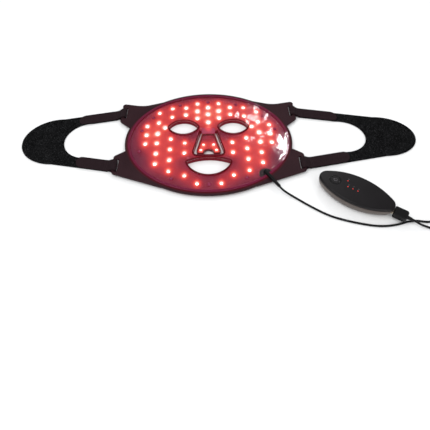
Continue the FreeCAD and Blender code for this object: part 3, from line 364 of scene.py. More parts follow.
def lit_led(name, strength):
    """White-hot dome on a pale package; the dome shows by its distance above the package's foot."""
    made, tree, shader = blank_material(name, Roughness=0.3, Emission_Strength=strength)
    rise = tree.nodes.new("ShaderNodeAttribute")
    rise.attribute_name = "rise"
    mask = node(tree, "MapRange", Value=rise.outputs["Fac"], From_Min=0.9 * MM, From_Max=1.25 * MM)
    colour = mix_colours(tree, mask.outputs[0], (0.95, 0.30, 0.20), (1.0, 0.80, 0.70))
    base = mix_colours(tree, mask.outputs[0], (0.75, 0.70, 0.66), (0.95, 0.90, 0.85))
    feed(tree, shader, Base_Color=base, Emission_Color=colour)
    return made


def lit_silicone():
    """Grey silicone, tinted maroon by painted red LED light; within the oval its walls are also painted red,
    with a red glow, for the light that leaks through them.
    """
    made, tree, shader = blank_material("grey_silicone", Specular_IOR_Level=0.14, Emission_Strength=1.0)
    # painted red spill of the LEDs' light: the grey silicone's grain colours are tinted maroon
    placed = use_group(tree, GRAIN, Scale=1400.0, Dark=(0.020, 0.006, 0.009, 1),
                       Light=(0.034, 0.012, 0.016, 1), Rough_Low=0.55, Rough_High=0.70, Bump=0.3,
                       Depth=0.08 * MM)
    reach = use_group(tree, REACH)
    # painted LED light within the oval: a red colour and a red glow on the walls
    painted_leak_share = node(tree, "MapRange", Value=reach.outputs[0], From_Min=1.03, From_Max=0.97)
    colour = mix_colours(tree, painted_leak_share.outputs[0], placed.outputs["Colour"], (0.035, 0.003, 0.008))
    painted_glow = mix_colours(tree, painted_leak_share.outputs[0], BLACK, (0.11, 0.0022, 0.0066))
    feed(tree, shader, Base_Color=colour, Emission_Color=painted_glow, Roughness=placed.outputs["Roughness"],
         Normal=placed.outputs["Normal"])
    return made


def lit_nose_shell():
    """Grey silicone tinted red by painted LED light, with a faint painted red glow; above the flap's floor
    its walls take the smoky red of the cover's lips and a stronger painted red glow.
    """
    made, tree, shader = blank_material("nose_shell_lit", Specular_IOR_Level=0.3, Emission_Strength=0.8)
    placed = use_group(tree, GRAIN, Scale=1400.0, Dark=(0.035, 0.004, 0.009, 1),
                       Light=(0.050, 0.006, 0.013, 1), Rough_Low=0.4, Rough_High=0.55, Bump=0.2,
                       Depth=0.06 * MM)
    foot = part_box("nose_shell")[0].z
    parts = node(tree, "SeparateXYZ", Vector=tree.nodes.new("ShaderNodeTexCoord").outputs["Object"])
    # painted LED light: above this height the walls turn red and glow strongly, below it they glow faintly
    painted_glow_split = node(tree, "MapRange", Value=parts.outputs[2], From_Min=foot + 3.2 * MM,
                 From_Max=foot + 3.4 * MM)
    colour = mix_colours(tree, painted_glow_split.outputs[0], placed.outputs["Colour"], (0.16, 0.015, 0.03))
    glow = mix_colours(tree, painted_glow_split.outputs[0], (0.07, 0.002, 0.004), (0.45, 0.02, 0.02))
    feed(tree, shader, Base_Color=colour, Emission_Color=glow, Roughness=placed.outputs["Roughness"],
         Normal=placed.outputs["Normal"])
    return made


MATERIALS = {
    "silicone": lit_silicone(),
    "ribbon": fabric("woven_ribbon", WEAVE, (0.006, 0.0025, 0.0035), (0.030, 0.015, 0.019), 0.85, 0.12),
    "felt": fabric("loop_felt", PILE, (0.0004, 0.0005, 0.0005), (0.011, 0.011, 0.012), 0.95, 0.04),
    "thread": grained("seam_thread", (0.025, 0.014, 0.017), (0.055, 0.035, 0.040), (0.7, 0.85),
                      scale=3000.0, Specular_IOR_Level=0.2),
    "cable": grained("cable_jacket", (0.0015, 0.0015, 0.002), (0.005, 0.0045, 0.005), (0.35, 0.48),
                     scale=1800.0, bump=0.15, Specular_IOR_Level=0.2),
    "moulding": grained("black_moulding", (0.003, 0.003, 0.0035), (0.008, 0.007, 0.008), (0.42, 0.58),
                        scale=2200.0, bump=0.3, depth=0.06 * MM, Specular_IOR_Level=0.25),
    "terminal": grained("terminal_block", (0.010, 0.004, 0.007), (0.020, 0.009, 0.013), (0.4, 0.55)),
    "case_top": grained("case_top_satin", (0.004, 0.003, 0.0038), (0.009, 0.007, 0.0085), (0.33, 0.43),
                        scale=3000.0, bump=0.22, depth=0.05 * MM, Specular_IOR_Level=0.3),
    "case_bottom": grained("case_bottom_bronze", (0.085, 0.066, 0.058), (0.125, 0.100, 0.088),
                           (0.32, 0.42), scale=3500.0, bump=0.15, depth=0.04 * MM, Metallic=0.25),
    "gasket": grained("seam_gasket", (0.002, 0.002, 0.002), (0.006, 0.006, 0.006), (0.6, 0.75),
                      Specular_IOR_Level=0.2),
    "ring": grained("button_ring_gloss", (0.004, 0.004, 0.004), (0.009, 0.008, 0.009), (0.12, 0.2),
                    scale=1500.0, bump=0.1),
    "print": grained("pale_print", (0.12, 0.11, 0.12), (0.18, 0.17, 0.18), (0.5, 0.6), scale=2500.0),
    "metal": grained("stamped_metal", (0.55, 0.48, 0.38), (0.72, 0.64, 0.50), (0.2, 0.32), scale=1500.0,
                     bump=0.1, Metallic=1.0),
    "gold": grained("gold_plate", (0.75, 0.52, 0.20), (0.9, 0.68, 0.32), (0.18, 0.28), Metallic=1.0),
    "board": grained("board_green", (0.01, 0.06, 0.025), (0.02, 0.10, 0.04), (0.3, 0.45), scale=400.0),
    "chip": grained("chip_black", (0.012, 0.012, 0.014), (0.03, 0.03, 0.032), (0.5, 0.65)),
    "foil": grained("battery_foil", (0.45, 0.45, 0.47), (0.65, 0.65, 0.67), (0.25, 0.45), broad=90.0,
                    bump=0.4, depth=0.2 * MM, Metallic=0.9),
    "wire": grained("wire_red", (0.35, 0.02, 0.02), (0.5, 0.04, 0.03), (0.35, 0.5)),
    # painted LED light: the flex circuit glows orange-red
    "flex": grained("flex_lit", (0.45, 0.30, 0.32), (0.6, 0.42, 0.45), (0.35, 0.5),
                    Emission_Color=(1.0, 0.24, 0.13, 1), Emission_Strength=0.9),
    # painted LED light: the spacers glow faintly red
    "spacer": grained("smoky_spacer_painted_glow", (0.10, 0.010, 0.035), (0.14, 0.016, 0.05), (0.2, 0.3), scale=300.0,
                      bump=0.1, Emission_Color=(0.30, 0.01, 0.04, 1), Emission_Strength=0.35),
    "indicator": grained("indicator_red", (0.6, 0.03, 0.03), (0.9, 0.06, 0.05), (0.25, 0.35),
                         Emission_Color=(1.0, 0.03, 0.02, 1), Emission_Strength=0.35),
    "floor": grained("pale_floor", (0.88, 0.88, 0.88), (0.90, 0.90, 0.90), (0.8, 0.9), scale=40.0,
                     bump=0.02),
    "clear": clear_silicone(),
    "panel": lit_panel(),
    "led": lit_led("lit_led", 6.0),
    "nose_led": lit_led("lit_nose_led", 1.8),
    "nose_shell": lit_nose_shell(),
}


def dress(name, key):
    """Gives a CAD node its finish."""
    slots = NODES[name].data.materials
    slots.clear()
    slots.append(MATERIALS[key])


# ---------------------------------------------------------------- mesh helpers

def link(name, mesh, key, body, smooth=True):
    """Finished piece: its place is in its mesh, and it rides on a body."""
    made = bpy.data.objects.new(name, mesh)
    bpy.context.scene.collection.objects.link(made)
    if not mesh.materials:
        mesh.materials.append(MATERIALS[key])
    for face in mesh.polygons:
        face.use_smooth = smooth
    if body:
        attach(made, body)
    return made


def mesh_from(name, corners, faces, uvs=None):
    """Mesh from its corners and faces, with a UV for each corner where they are given."""
    mesh = bpy.data.meshes.new(name)
    mesh.from_pydata([tuple(c) for c in corners], [], faces)
    if uvs:
        layer = mesh.uv_layers.new(name="UVMap")
        for loop in mesh.loops:
            layer.data[loop.index].uv = uvs[loop.vertex_index]
    mesh.update()
    return mesh


def face_outwards(mesh, weld=False):
    """Merges a mesh's doubled points, where it may have them, and turns its faces outwards."""
    work = bmesh.new()
    work.from_mesh(mesh)
    if weld:
        bmesh.ops.remove_doubles(work, verts=work.verts, dist=1e-7)
    bmesh.ops.recalc_face_normals(work, faces=work.faces)
    work.to_mesh(mesh)
    work.free()


def merged_copy(name):
    """Copy of a CAD node's mesh with its loose triangles joined."""
    work = bmesh.new()
    work.from_mesh(NODES[name].data)
    bmesh.ops.remove_doubles(work, verts=work.verts, dist=WELD)
    return work


def point_values(mesh, label, values):
    """Stores one number on each point of a mesh, for a material or a node tree to read."""
    layer = mesh.attributes.new(label, "FLOAT", "POINT")
    for item, value in zip(layer.data, values):
        item.value = value


def neighbours(line, index):
    """Points before and after one in an open line; at an end, the end itself."""
    return line[max(0, index - 1)], line[min(len(line) - 1, index + 1)]


# ---------------------------------------------------------------- cable

CABLE = 2.6 * MM
LIE = CABLE / 2
EYE_LINE = 23.0
COIL_TURN_POINTS = 14
STEP_IN = 0.72


def plan(x, y, z):
    """Point in millimetres from the oval's centre, to the frame, whose origin is on the eye line."""
    return Vector((x * MM, (y - EYE_LINE) * MM, z * MM))


def round_point(centre, radius, angle, z):
    return centre + Vector((radius * math.cos(angle), radius * math.sin(angle), z))


def coil_points(centre, start_radius, columns, rows):
    """Neat wound coil: each column is a stack of turns, and the next column winds inside it.

    A turn keeps its level until STEP_IN of the way round, and then steps to the next one's. The
    spline runs inside its control points, so their circle is a little larger than the turn.
    """
    levels = []
    for column in range(columns):
        order = range(rows) if column % 2 == 0 else reversed(range(rows))
        levels += [(start_radius - column * CABLE, LIE + row * CABLE) for row in order]
    levels.append(levels[-1])
    swell = 1 / 0.975
    points = []
    for (radius, z), (next_radius, next_z) in zip(levels, levels[1:]):
        for index in range(COIL_TURN_POINTS):
            share = index / COIL_TURN_POINTS
            move = max(0.0, (share - STEP_IN) / (1 - STEP_IN))
            turned = (radius + (next_radius - radius) * move) * swell
            angle = math.pi / 2 - 2 * math.pi * share
            points.append(round_point(centre, turned, angle, z + (next_z - z) * move))
    return points


def lay_cable():
    """One cord from the strain relief, along the floor, round its coil and back to the plug's boot."""
    way = round_point(Vector((0, 0, 0)), 1.0, math.radians(-58.9), 0)
    relief_long = 23.0 * MM
    start = plan(75.8, -67.4, 7.85) + way * relief_long
    lie = LIE / MM
    points = [start, start + way * 5 * MM - UP * 0.6 * MM]
    points += [plan(x, y, z) for x, y, z in (
        (97.0, -95.4, 4.3), (105.0, -99.2, lie), (117.5, -109.6, lie), (130.0, -119.0, lie),
        (142.5, -127.3, lie), (155.5, -132.7, lie), (168.4, -136.9, lie), (181.4, -140.2, lie),
        (194.5, -142.8, lie), (208.3, -143.1, lie), (222.9, -140.6, lie), (233.3, -137.2, lie),
        (243.7, -136.1, lie), (255.7, -138.7, lie), (266.5, -136.9, lie), (276.0, -138.1, lie))]
    centre = plan(284.0, -155.0, 0)
    points += coil_points(centre, 16.9 * MM, 3, 3)
    points += [round_point(centre, radius * MM, math.radians(degrees), z * MM) for degrees, radius, z in (
        (90, 11.7, 6.6), (62, 11.9, 7.4), (34, 12.6, 8.6), (6, 14.4, 9.3), (-22, 16.6, 9.3),
        (-50, 18.6, 8.2), (-75, 19.0, 6.4))]
    points += [plan(x, y, z) for x, y, z in (
        (277.0, -172.2, 4.4), (270.3, -170.2, 2.6), (264.9, -164.2, lie), (262.8, -156.2, lie),
        (260.3, -148.6, lie), (253.5, -145.0, lie), (246.0, -144.0, 4.0))]
    slide = Vector(JOINTS["controller_unplug"]["axis"]) * -1
    low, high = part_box("plug_contacts")
    middle = (low + high) / 2
    boot_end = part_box("plug_boot")[1].x
    end = middle + slide * (boot_end - middle.x - LIE * abs(slide.y)) / slide.x
    points += [end + slide * 5 * MM - UP * 0.8 * MM, end]
    curve = bpy.data.curves.new("cable", "CURVE")
    curve.dimensions = "3D"
    curve.bevel_depth = LIE
    curve.bevel_resolution = 4
    curve.resolution_u = 5
    curve.use_fill_caps = True
    spline = curve.splines.new("NURBS")
    spline.points.add(len(points) - 1)
    for target, point in zip(spline.points, points):
        target.co = (*point, 1)
    spline.order_u = 3
    spline.use_endpoint_u = True
    curve.materials.append(MATERIALS["cable"])
    cable = bpy.data.objects.new("cable", curve)
    bpy.context.scene.collection.objects.link(cable)
    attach(cable, "mask")
    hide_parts("cable_lead", "cable_coil", "cable_tail")


# ---------------------------------------------------------------- LEDs and lit panels

def led_centres(name):
    """Plan centre of each LED in a CAD node, which holds them as separate shells."""
    merged = merged_copy(name)
    left = set(merged.verts)
    centres = []
    while left:
        stack, island = [left.pop()], []
        while stack:
            vert = stack.pop()
            island.append(vert)
            for edge in vert.link_edges:
                other = edge.other_vert(vert)
                if other in left:
                    left.remove(other)
                    stack.append(other)
        xs = [v.co.x for v in island]
        ys = [v.co.y for v in island]
        centres.append(Vector(((min(xs) + max(xs)) / 2, (min(ys) + max(ys)) / 2)))
    merged.free()
    return centres


# painted LED light on the films: strength and spread of the pool round each LED and of the wide haze
POOL, POOL_SPREAD = 0.74, 3.9 * MM
HAZE, HAZE_SPREAD = 0.20, 13.0 * MM
TALL_POOL = 0.8
NOSE_DIM = 0.62


def glow_at(centres, x, y):
    """Painted LED light at a place on the film: a tight pool round each LED and a wide haze."""
    total = 0.0
    for centre in centres:
        square = (centre.x - x) ** 2 + (TALL_POOL * (centre.y - y)) ** 2
        total += POOL * math.exp(-square / POOL_SPREAD ** 2) + HAZE * math.exp(-square / HAZE_SPREAD ** 2)
    return min(1.0, total)


def light_sheet(name, centres, dim=1.0):
    """Copy of a CAD sheet cut into small faces, with the painted LED glow stored on its points."""
    low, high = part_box(name)
    work = merged_copy(name)
    bmesh.ops.dissolve_limit(work, angle_limit=0.01, verts=work.verts, edges=work.edges)
    step = 1.1 * MM
    for axis in (0, 1):
        normal = Vector((1 - axis, axis, 0))
        for index in range(1, int((high[axis] - low[axis]) / step)):
            bmesh.ops.bisect_plane(work, geom=work.verts[:] + work.edges[:] + work.faces[:],
                                   plane_co=low + normal * index * step, plane_no=normal, dist=1e-7)
    mesh = bpy.data.meshes.new(name + "_lit")
    bmesh.ops.triangulate(work, faces=work.faces)
    work.to_mesh(mesh)
    work.free()
    point_values(mesh, "glow", [dim * glow_at(centres, v.co.x, v.co.y) for v in mesh.vertices])
    return mesh


def scatter_tree():
    """Geometry nodes: a seed object on every point, turned by the point's own angle."""
    tree = bpy.data.node_groups.new("seed_on_points", "GeometryNodeTree")
    for label, flow, kind in (("Geometry", "INPUT", "Geometry"), ("Seed", "INPUT", "Object"),
                              ("Finish", "INPUT", "Material"), ("Geometry", "OUTPUT", "Geometry")):
        tree.interface.new_socket(label, in_out=flow, socket_type="NodeSocket" + kind)
    add = tree.nodes.new
    given, result = add("NodeGroupInput"), add("NodeGroupOutput")
    info, turn = add("GeometryNodeObjectInfo"), add("GeometryNodeInputNamedAttribute")
    turn.data_type = "FLOAT"
    turn.inputs["Name"].default_value = "turn"
    euler, spread = add("ShaderNodeCombineXYZ"), add("GeometryNodeInstanceOnPoints")
    points, real = add("GeometryNodeMeshToPoints"), add("GeometryNodeRealizeInstances")
    finish = add("GeometryNodeSetMaterial")
    link_sockets = tree.links.new
    link_sockets(given.outputs["Geometry"], points.inputs["Mesh"])
    link_sockets(points.outputs[0], spread.inputs["Points"])
    link_sockets(given.outputs["Seed"], info.inputs["Object"])
    link_sockets(info.outputs["Geometry"], spread.inputs["Instance"])
    link_sockets(turn.outputs[0], euler.inputs[2])
    link_sockets(euler.outputs[0], spread.inputs["Rotation"])
    link_sockets(spread.outputs[0], real.inputs[0])
    link_sockets(real.outputs[0], finish.inputs["Geometry"])
    link_sockets(given.outputs["Finish"], finish.inputs["Material"])
    link_sockets(finish.outputs[0], result.inputs[0])
    return tree


def scatter(name, seed_mesh, places, key, body):
    """Bakes one mesh of seeds; places holds (x, y, z, turn) for each."""
    mesh = bpy.data.meshes.new(name + "_points")
    mesh.from_pydata([place[:3] for place in places], [], [])
    point_values(mesh, "turn", [place[3] for place in places])
    host = bpy.data.objects.new(name + "_host", mesh)
    seed = bpy.data.objects.new(name + "_seed", seed_mesh)
    for item in (host, seed):
        bpy.context.scene.collection.objects.link(item)
    modifier = host.modifiers.new("scatter", "NODES")
    modifier.node_group = SCATTER
    values = {"Seed": seed, "Finish": MATERIALS[key]}
    for item in SCATTER.interface.items_tree:
        if item.in_out == "INPUT" and item.name in values:
            modifier[item.identifier] = values[item.name]
    bpy.context.view_layer.update()
    graph = bpy.context.evaluated_depsgraph_get()
    baked = bpy.data.meshes.new_from_object(host.evaluated_get(graph))
    for item in (host, seed):
        bpy.data.objects.remove(item)
    return link(name, baked, key, body)


SCATTER = scatter_tree()


def led_seed():
    """Bevelled package with a round dome, and how far each point stands above the foot."""
    long, wide, tall, dome = 3.5 * MM, 2.8 * MM, 1.1 * MM, 1.3 * MM
    work = bmesh.new()
    bmesh.ops.create_cube(work, size=1.0, matrix=Matrix.Translation(UP * tall / 2)
                          @ Matrix.Diagonal((long, wide, tall, 1)))
    bmesh.ops.bevel(work, geom=work.edges[:], offset=0.15 * MM, segments=2, affect="EDGES", profile=0.5)
    ball = bmesh.ops.create_uvsphere(work, u_segments=20, v_segments=12, radius=dome,
                                     matrix=Matrix.Translation(UP * tall))
    below = [v for v in ball["verts"] if v.co.z < tall - 1e-6]
    bmesh.ops.delete(work, geom=below, context="VERTS")
    mesh = bpy.data.meshes.new("led_seed")
    work.to_mesh(mesh)
    work.free()
    point_values(mesh, "rise", [v.co.z for v in mesh.vertices])
    return mesh


def hinge_skin(centres):
    """Thin moulded skin that carries the lit face over the nose hinge."""
    hinge = Vector(JOINTS["nose_flap_bend"]["pos_m"])
    cover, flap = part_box("face_cover")[1].z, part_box("nose_cover")[1].z
    profile = ((9.0, flap + 0.03 * MM), (6.0, cover - 0.15 * MM), (4.2, cover + 0.10 * MM),
               (2.4, cover + 0.14 * MM), (0.9, cover - 0.10 * MM), (-0.6, flap + 0.45 * MM),
               (-2.0, flap + 0.14 * MM), (-3.4, flap + 0.10 * MM))
    line = [Vector((0, y * MM, z)) for y, z in profile]
    for _ in range(2):
        cut = [first.lerp(second, part) for first, second in zip(line, line[1:]) for part in (0.25, 0.75)]
        line = [line[0], *cut, line[-1]]
    widest, end_taper, thick, edge_drop, count = 9.6 * MM, 1.6 * MM, 0.09 * MM, 0.10 * MM, 24
    corners, faces = [], []
    for index, point in enumerate(line):
        half = widest - end_taper * abs(index / (len(line) - 1) * 2 - 1) ** 3
        for drop in (0.0, thick):
            for step in range(count + 1):
                share = step / count * 2 - 1
                fade = edge_drop * share ** 6
                corners.append((hinge.x + half * share, hinge.y + point.y, point.z - drop - fade))
    under = count + 1
    row = 2 * under
    for index in range(len(line) - 1):
        for step in range(count):
            a = index * row + step
            b = a + under
            faces += [(a, a + 1, a + 1 + row, a + row), (b + row, b + 1 + row, b + 1, b)]
        for a in (index * row, index * row + count):
            faces.append((a, a + row, a + under + row, a + under))
    for start in (0, row * (len(line) - 1)):
        faces += [(a + under, a + under + 1, a + 1, a) for a in range(start, start + count)]
    mesh = mesh_from("hinge_skin", corners, faces)
    face_outwards(mesh)
    # painted LED light on the skin, dimmed and capped
    point_values(mesh, "glow", [0.55 * min(0.7, glow_at(centres, v.co.x, v.co.y)) for v in mesh.vertices])
    piece = link("hinge_skin", mesh, "panel", None)
    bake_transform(piece)


def build_lights():
    """LEDs, the two lit films and the skin over the nose hinge."""
    centres = []
    for name in ("led_forehead", "led_left_cheek", "led_right_cheek", "led_chin", "nose_leds"):
        found = led_centres(name)
        centres.append(found)
        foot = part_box(name)[0].z
        body, key = ("nose_flap", "nose_led") if name == "nose_leds" else ("mask", "led")
        piece = scatter("lit_" + name, led_seed(), [(c.x, c.y, foot, 0.0) for c in found], key, body)
        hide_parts(name)
    every = [centre for found in centres for centre in found]
    panel = link("lit_reflector", light_sheet("reflector_sheet", every), "panel", "mask",
                 smooth=False)
    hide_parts("reflector_sheet")
    flap = link("lit_nose_film", light_sheet("nose_flex", every, NOSE_DIM), "panel", "nose_flap",
                smooth=False)
    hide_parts("nose_flex")
    hinge_skin(every)


# ---------------------------------------------------------------- dress the CAD nodes

FINISHES = {
    "back_shell": "silicone", "nose_shell": "nose_shell", "face_cover": "clear", "nose_cover": "clear",
    "skin_spacers": "spacer", "flex_circuit": "flex", "cable_terminal": "terminal", "lead_wires": "wire",
    "strain_relief": "cable", "plug_boot": "moulding", "plug_body": "moulding", "plug_contact_shell": "metal",
    "plug_contacts": "gold", "controller_bottom_shell": "case_bottom", "controller_gasket": "gasket",
    "controller_top_shell": "case_top", "controller_board": "board", "board_components": "chip",
    "battery_cell": "foil", "tact_switch": "chip", "button_ring": "ring", "power_button": "case_top",
    "indicator_lenses": "indicator", "usb_socket": "metal", "socket_tongue": "chip", "board_screws": "metal",
}


def dress_nodes():
    for name, key in FINISHES.items():
        dress(name, key)


def lay_floor():
    reach = 6
    corners = [(-reach, -reach, 0), (reach, -reach, 0), (reach, reach, 0), (-reach, reach, 0)]
    mesh = mesh_from("floor", corners, [(0, 1, 2, 3)])
    floor = link("floor", mesh, "floor", None, smooth=False)


# ---------------------------------------------------------------- strap pads

def pad_outline(name):
    """Outline of a pad's plan, read round the rim of the CAD node's top face."""
    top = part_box(name)[1].z - WELD
    work = merged_copy(name)
    rim = {}
    for edge in work.edges:
        sides = [all(v.co.z > top for v in face.verts) for face in edge.link_faces]
        if sides.count(True) == 1:
            a, b = edge.verts
            rim.setdefault(a, []).append(b)
            rim.setdefault(b, []).append(a)
    start = next(iter(rim))
    loop, here, before = [], start, None
    while True:
        loop.append(Vector((here.co.x, here.co.y)))
        ahead = [v for v in rim[here] if v is not before]
        before, here = here, ahead[0]
        if here is start:
            break
    work.free()
    return loop


def even_loop(loop, step):
    """The closed loop with points about step apart."""
    result = []
    for first, second in zip(loop, loop[1:] + loop[:1]):
        count = max(1, round((second - first).length / step))
        result += [first.lerp(second, index / count) for index in range(count)]
    return result


def inside(loop, x, y):
    """Whether a place lies in the closed loop."""
    hit = False
    for first, second in zip(loop, loop[1:] + loop[:1]):
        if (first.y > y) != (second.y > y):
            share = (y - first.y) / (second.y - first.y)
            if x < first.x + (second.x - first.x) * share:
                hit = not hit
    return hit


def inset_loop(loop, distance):
    """The closed loop moved inwards, point by point."""
    area = sum(a.x * b.y - b.x * a.y for a, b in zip(loop, loop[1:] + loop[:1]))
    sign = 1 if area > 0 else -1
    result = []
    for index, here in enumerate(loop):
        along = (loop[(index + 1) % len(loop)] - loop[index - 1]).normalized()
        result.append(here + Vector((-along.y, along.x)) * sign * distance)
    return result


PAD_DIP = 0.07 * MM
PAD_ROUND = 1.1 * MM
PAD_NET = 1.8 * MM


def soft_plate(name, loop, low, high, round_width, step):
    """Closed pad over a plan outline: rounded edges, an even triangle net and a soft, uneven top."""
    middle, half = (low + high) / 2, (high - low) / 2
    edge_loop = even_loop(loop, step)
    rings = [edge_loop, inset_loop(edge_loop, round_width * 0.3), inset_loop(edge_loop, round_width)]
    points, constraints = [], []
    for ring in rings:
        first = len(points)
        points += ring
        constraints += [(first + i, first + (i + 1) % len(ring)) for i in range(len(ring))]
    near = kdtree.KDTree(len(edge_loop))
    for index, point in enumerate(edge_loop):
        near.insert((point.x, point.y, 0), index)
    near.balance()
    xs, ys = [p.x for p in loop], [p.y for p in loop]
    row, y = 0, min(ys) + step / 2
    while y < max(ys):
        x = min(xs) + (step / 2 if row % 2 else step)
        while x < max(xs):
            if inside(edge_loop, x, y) and near.find((x, y, 0))[2] > round_width + step * 0.6:
                points.append(Vector((x, y)))
            x += step
        row += 1
        y += step * 0.866
    outline = [list(range(len(edge_loop)))]
    verts, _, faces, _, _, _ = delaunay_2d_cdt(points, constraints, outline, 1, 1e-7)
    corners, top, bottom = [], {}, {}
    for index, vert in enumerate(verts):
        distance = near.find((vert.x, vert.y, 0))[2]
        share = min(1.0, distance / round_width)
        lift = half * math.sqrt(max(0.0, 1 - (1 - share) ** 2))
        wave = math.sin(vert.x * 210) + math.sin(vert.y * 260 + vert.x * 90)
        dip = PAD_DIP * share * abs(wave)
        top[index] = len(corners)
        corners.append((vert.x, vert.y, middle + lift - dip))
        if share < 1e-3:
            bottom[index] = top[index]
        else:
            bottom[index] = len(corners)
            corners.append((vert.x, vert.y, middle - lift))
    shells = [tuple(top[i] for i in face) for face in faces]
    shells += [tuple(bottom[i] for i in reversed(face)) for face in faces]
    mesh = mesh_from(name, corners, shells)
    face_outwards(mesh)
    return mesh


def build_pads():
    for word in ("left", "right"):
        name, node_name = word + "_loop_pad", word + "_pad"
        low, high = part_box(node_name)
        mesh = soft_plate(name, pad_outline(node_name), low.z, high.z, PAD_ROUND, PAD_NET)
        piece = link(name, mesh, "felt", word + "_strap")
        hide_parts(node_name)


# ---------------------------------------------------------------- ribbons, hook tabs and stitches

RIBBON_HALF = 9.0
RIBBON_THICK = 0.31
TAB_EXTRA = 0.22
TAB_FROM = 14.0
TAB_ROUND = 8.0
SOFT_EDGE = 0.45
LEAN = math.tan(math.radians(10.76))
BAR_X = 126.0


def turned_path():
    """Ribbon's centre line round the bar, in its own side view: distance out and height, in millimetres."""
    loop_radius, loop_height, outer_slack = 3.1, 4.25, 1.42
    line = [(13.3, 2.6), (10.5, 2.6), (8.0, 2.6), (5.6, 2.35), (3.4, 1.75)]
    for degrees in range(-70, -306, -10):
        angle = math.radians(degrees)
        slack = outer_slack if math.cos(angle) < 0 else 1.0
        line.append((loop_radius * slack * math.cos(angle), loop_height + loop_radius * math.sin(angle)))
    line += [(3.2, 6.05), (4.8, 5.05), (6.4, 4.15), (8.0, 3.55), (9.5, 3.28), (11.0, 3.22)]
    return line


def ribbon_stations(reach):
    """Centre line from the sewn end, round the bar and out to the tab's rounded end."""
    line = turned_path()
    line += [(11.0 + 0.3 * i, 3.22 - 0.17 * min(1.0, i / 14)) for i in range(1, 20)]
    start, height, straight_end = line[-1][0], 3.05, reach - TAB_ROUND
    count = round((straight_end - start) / 1.4)
    line += [(start + (straight_end - start) * i / count, height) for i in range(1, count + 1)]
    line += [(straight_end + TAB_ROUND * math.sin(math.radians(9 * i)), height) for i in range(1, 11)]
    return line


def ribbon_mesh(name, bar, side, lean, reach):
    """Woven ribbon with soft edges; its far end is the rounded hook tab, which is thicker."""
    slope = lean * LEAN
    stretch = math.hypot(1, slope)
    line = ribbon_stations(reach)
    across = [1.0, 0.985, 0.95] + [0.95 - 0.19 * i for i in range(1, 10)] + [-0.95, -0.985, -1.0]
    corners, uvs, rings, travelled = [], [], [], 0.0
    for index, (u, z) in enumerate(line):
        before, after = neighbours(line, index)
        du, dz = after[0] - before[0], after[1] - before[1]
        norm = math.hypot(du, dz)
        du, dz = du / norm, dz / norm
        if index:
            travelled += math.hypot(u - before[0], z - before[1])
        into_end = max(0.0, u - (reach - TAB_ROUND))
        half = RIBBON_HALF - TAB_ROUND + math.sqrt(max(0.0, TAB_ROUND ** 2 - into_end ** 2))
        thick = RIBBON_THICK + TAB_EXTRA * min(1.0, max(0.0, (u - TAB_FROM) / 3.0))
        ring = []
        for sign, order in ((1, across), (-1, across[-2:0:-1])):
            for share in order:
                over = max(0.0, abs(share) * half - (half - SOFT_EDGE)) / SOFT_EDGE
                lift = sign * thick * math.sqrt(max(0.0, 1 - over * over))
                cross = share * half
                out = u - dz * lift
                ring.append(len(corners))
                corners.append(bar + Vector((side * out, cross * stretch + slope * out, z + du * lift)) * MM)
                uvs.append((travelled / 10, cross / 10))
        rings.append(ring)
    faces = []
    for first, second in zip(rings, rings[1:]):
        for i in range(len(first)):
            k = (i + 1) % len(first)
            faces.append((first[i], first[k], second[k], second[i]))
    faces += [tuple(reversed(rings[0])), tuple(rings[-1])]
    mesh = mesh_from(name, corners, faces, uvs)
    face_outwards(mesh, weld=True)
    return mesh


def stitch_seed():
    """One thread stitch lying along X."""
    work = bmesh.new()
    bmesh.ops.create_uvsphere(work, u_segments=10, v_segments=6, radius=0.5,
                              matrix=Matrix.Diagonal((1.7 * MM, 0.42 * MM, 0.34 * MM, 1)))
    mesh = bpy.data.meshes.new("stitch_seed")
    work.to_mesh(mesh)
    work.free()
    return mesh


def seam_places(bar, side, lean):
    """Two rows of stitches across the ribbon, where its turned end is sewn down."""
    pitch, count = 2.4, 7
    places = []
    for out, top in ((9.6, 3.60), (12.2, 3.54)):
        for index in range(count):
            cross = pitch * (index - (count - 1) / 2)
            place = bar + Vector((side * out, cross + lean * LEAN * out, top)) * MM
            places.append((*place, math.pi / 2))
    return places


def build_ribbons():
    """Each ribbon is sewn to its pad and turned round its ear's bar, and its far end is a hook tab."""
    for word, side in (("left", -1), ("right", 1)):
        for level, slot_y, lean in (("upper", 56.0, -1), ("lower", -46.0, 1)):
            name, strap = word + "_" + level, word + "_strap"
            bar = plan(side * BAR_X, slot_y, 0)
            reach = 52.0 if name == "left_lower" else 63.0
            mesh = ribbon_mesh(name + "_ribbon", bar, side, lean, reach)
            piece = link(name + "_ribbon", mesh, "ribbon", None)
            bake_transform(piece)
            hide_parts(name + "_loop", name + "_tab")
            places = seam_places(bar, side, lean)
            scatter(name + "_stitches", stitch_seed(), places, "thread", strap)


# ---------------------------------------------------------------- printed marks on the controller

CASE_TURN = Matrix.Rotation(math.radians(-34.0), 3, "Z")
BUTTON_X = -27.0
STROKE = ((-1, -0.02), (1, -0.02), (1, 0.05), (-1, 0.05))


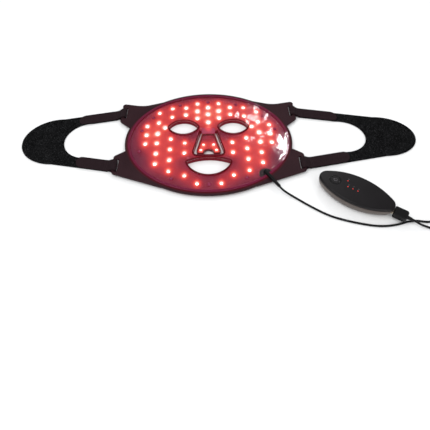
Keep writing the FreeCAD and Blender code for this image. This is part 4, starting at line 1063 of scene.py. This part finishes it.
def case_point(x, y, z):
    """Millimetres from the controller's middle, with X along the case, to the frame."""
    low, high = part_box("button_ring")
    middle = (low + high) / 2
    middle.z = 0.0
    return middle + CASE_TURN @ Vector((x - BUTTON_X, y, 0)) * MM + UP * z


def mark_mesh(name, strips, z):
    """Thin printed strokes: each strip is a list of (x, y) with its width, raised just off the surface."""
    work = bmesh.new()
    for line, width in strips:
        rows = []
        for index, point in enumerate(line):
            before, after = neighbours(line, index)
            way = (Vector(after) - Vector(before)).normalized()
            side = Vector((-way.y, way.x)) * width / 2
            rows.append([work.verts.new(case_point(*(Vector(point) + side * sign), z + rise * MM))
                         for sign, rise in STROKE])
        for first, second in zip(rows, rows[1:]):
            for i in range(4):
                k = (i + 1) % 4
                work.faces.new((first[i], first[k], second[k], second[i]))
        work.faces.new(list(reversed(rows[0])))
        work.faces.new(rows[-1])
    bmesh.ops.recalc_face_normals(work, faces=work.faces)
    mesh = bpy.data.meshes.new(name)
    work.to_mesh(mesh)
    work.free()
    return mesh


def arc_points(x, y, radius, start, end, count):
    """Points along an arc, from its start to its end in degrees."""
    angles = [math.radians(start + (end - start) * i / count) for i in range(count + 1)]
    return [(x + radius * math.cos(angle), y + radius * math.sin(angle)) for angle in angles]


def print_marks():
    """Power mark on the button, and an arc over a dash beside each indicator."""
    broad, fine = 0.45, 0.22
    power = [(arc_points(BUTTON_X, 0.0, 2.1, 120, 420, 24), broad),
             ([(BUTTON_X, 0.5), (BUTTON_X, 2.6)], broad)]
    marks = []
    for x, y in ((-10.3, 1.0), (-4.1, 1.0), (2.1, 1.0), (-13.5, 9.4)):
        marks.append((arc_points(x, y, 0.9, 20, 160, 8), fine))
        marks.append(([(x - 0.8, y - 0.7), (x + 0.8, y - 0.7)], fine))
    for name, strips, node_name, body in (("button_icon", power, "power_button", "power_button"),
                                          ("mode_marks", marks, "controller_top_shell", "controller")):
        mesh = mark_mesh(name, strips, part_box(node_name)[1].z)
        link(name, mesh, "print", body, smooth=False)


place_camera()
light_studio()
lay_cable()
lay_floor()
dress_nodes()
build_lights()
build_pads()
build_ribbons()
print_marks()
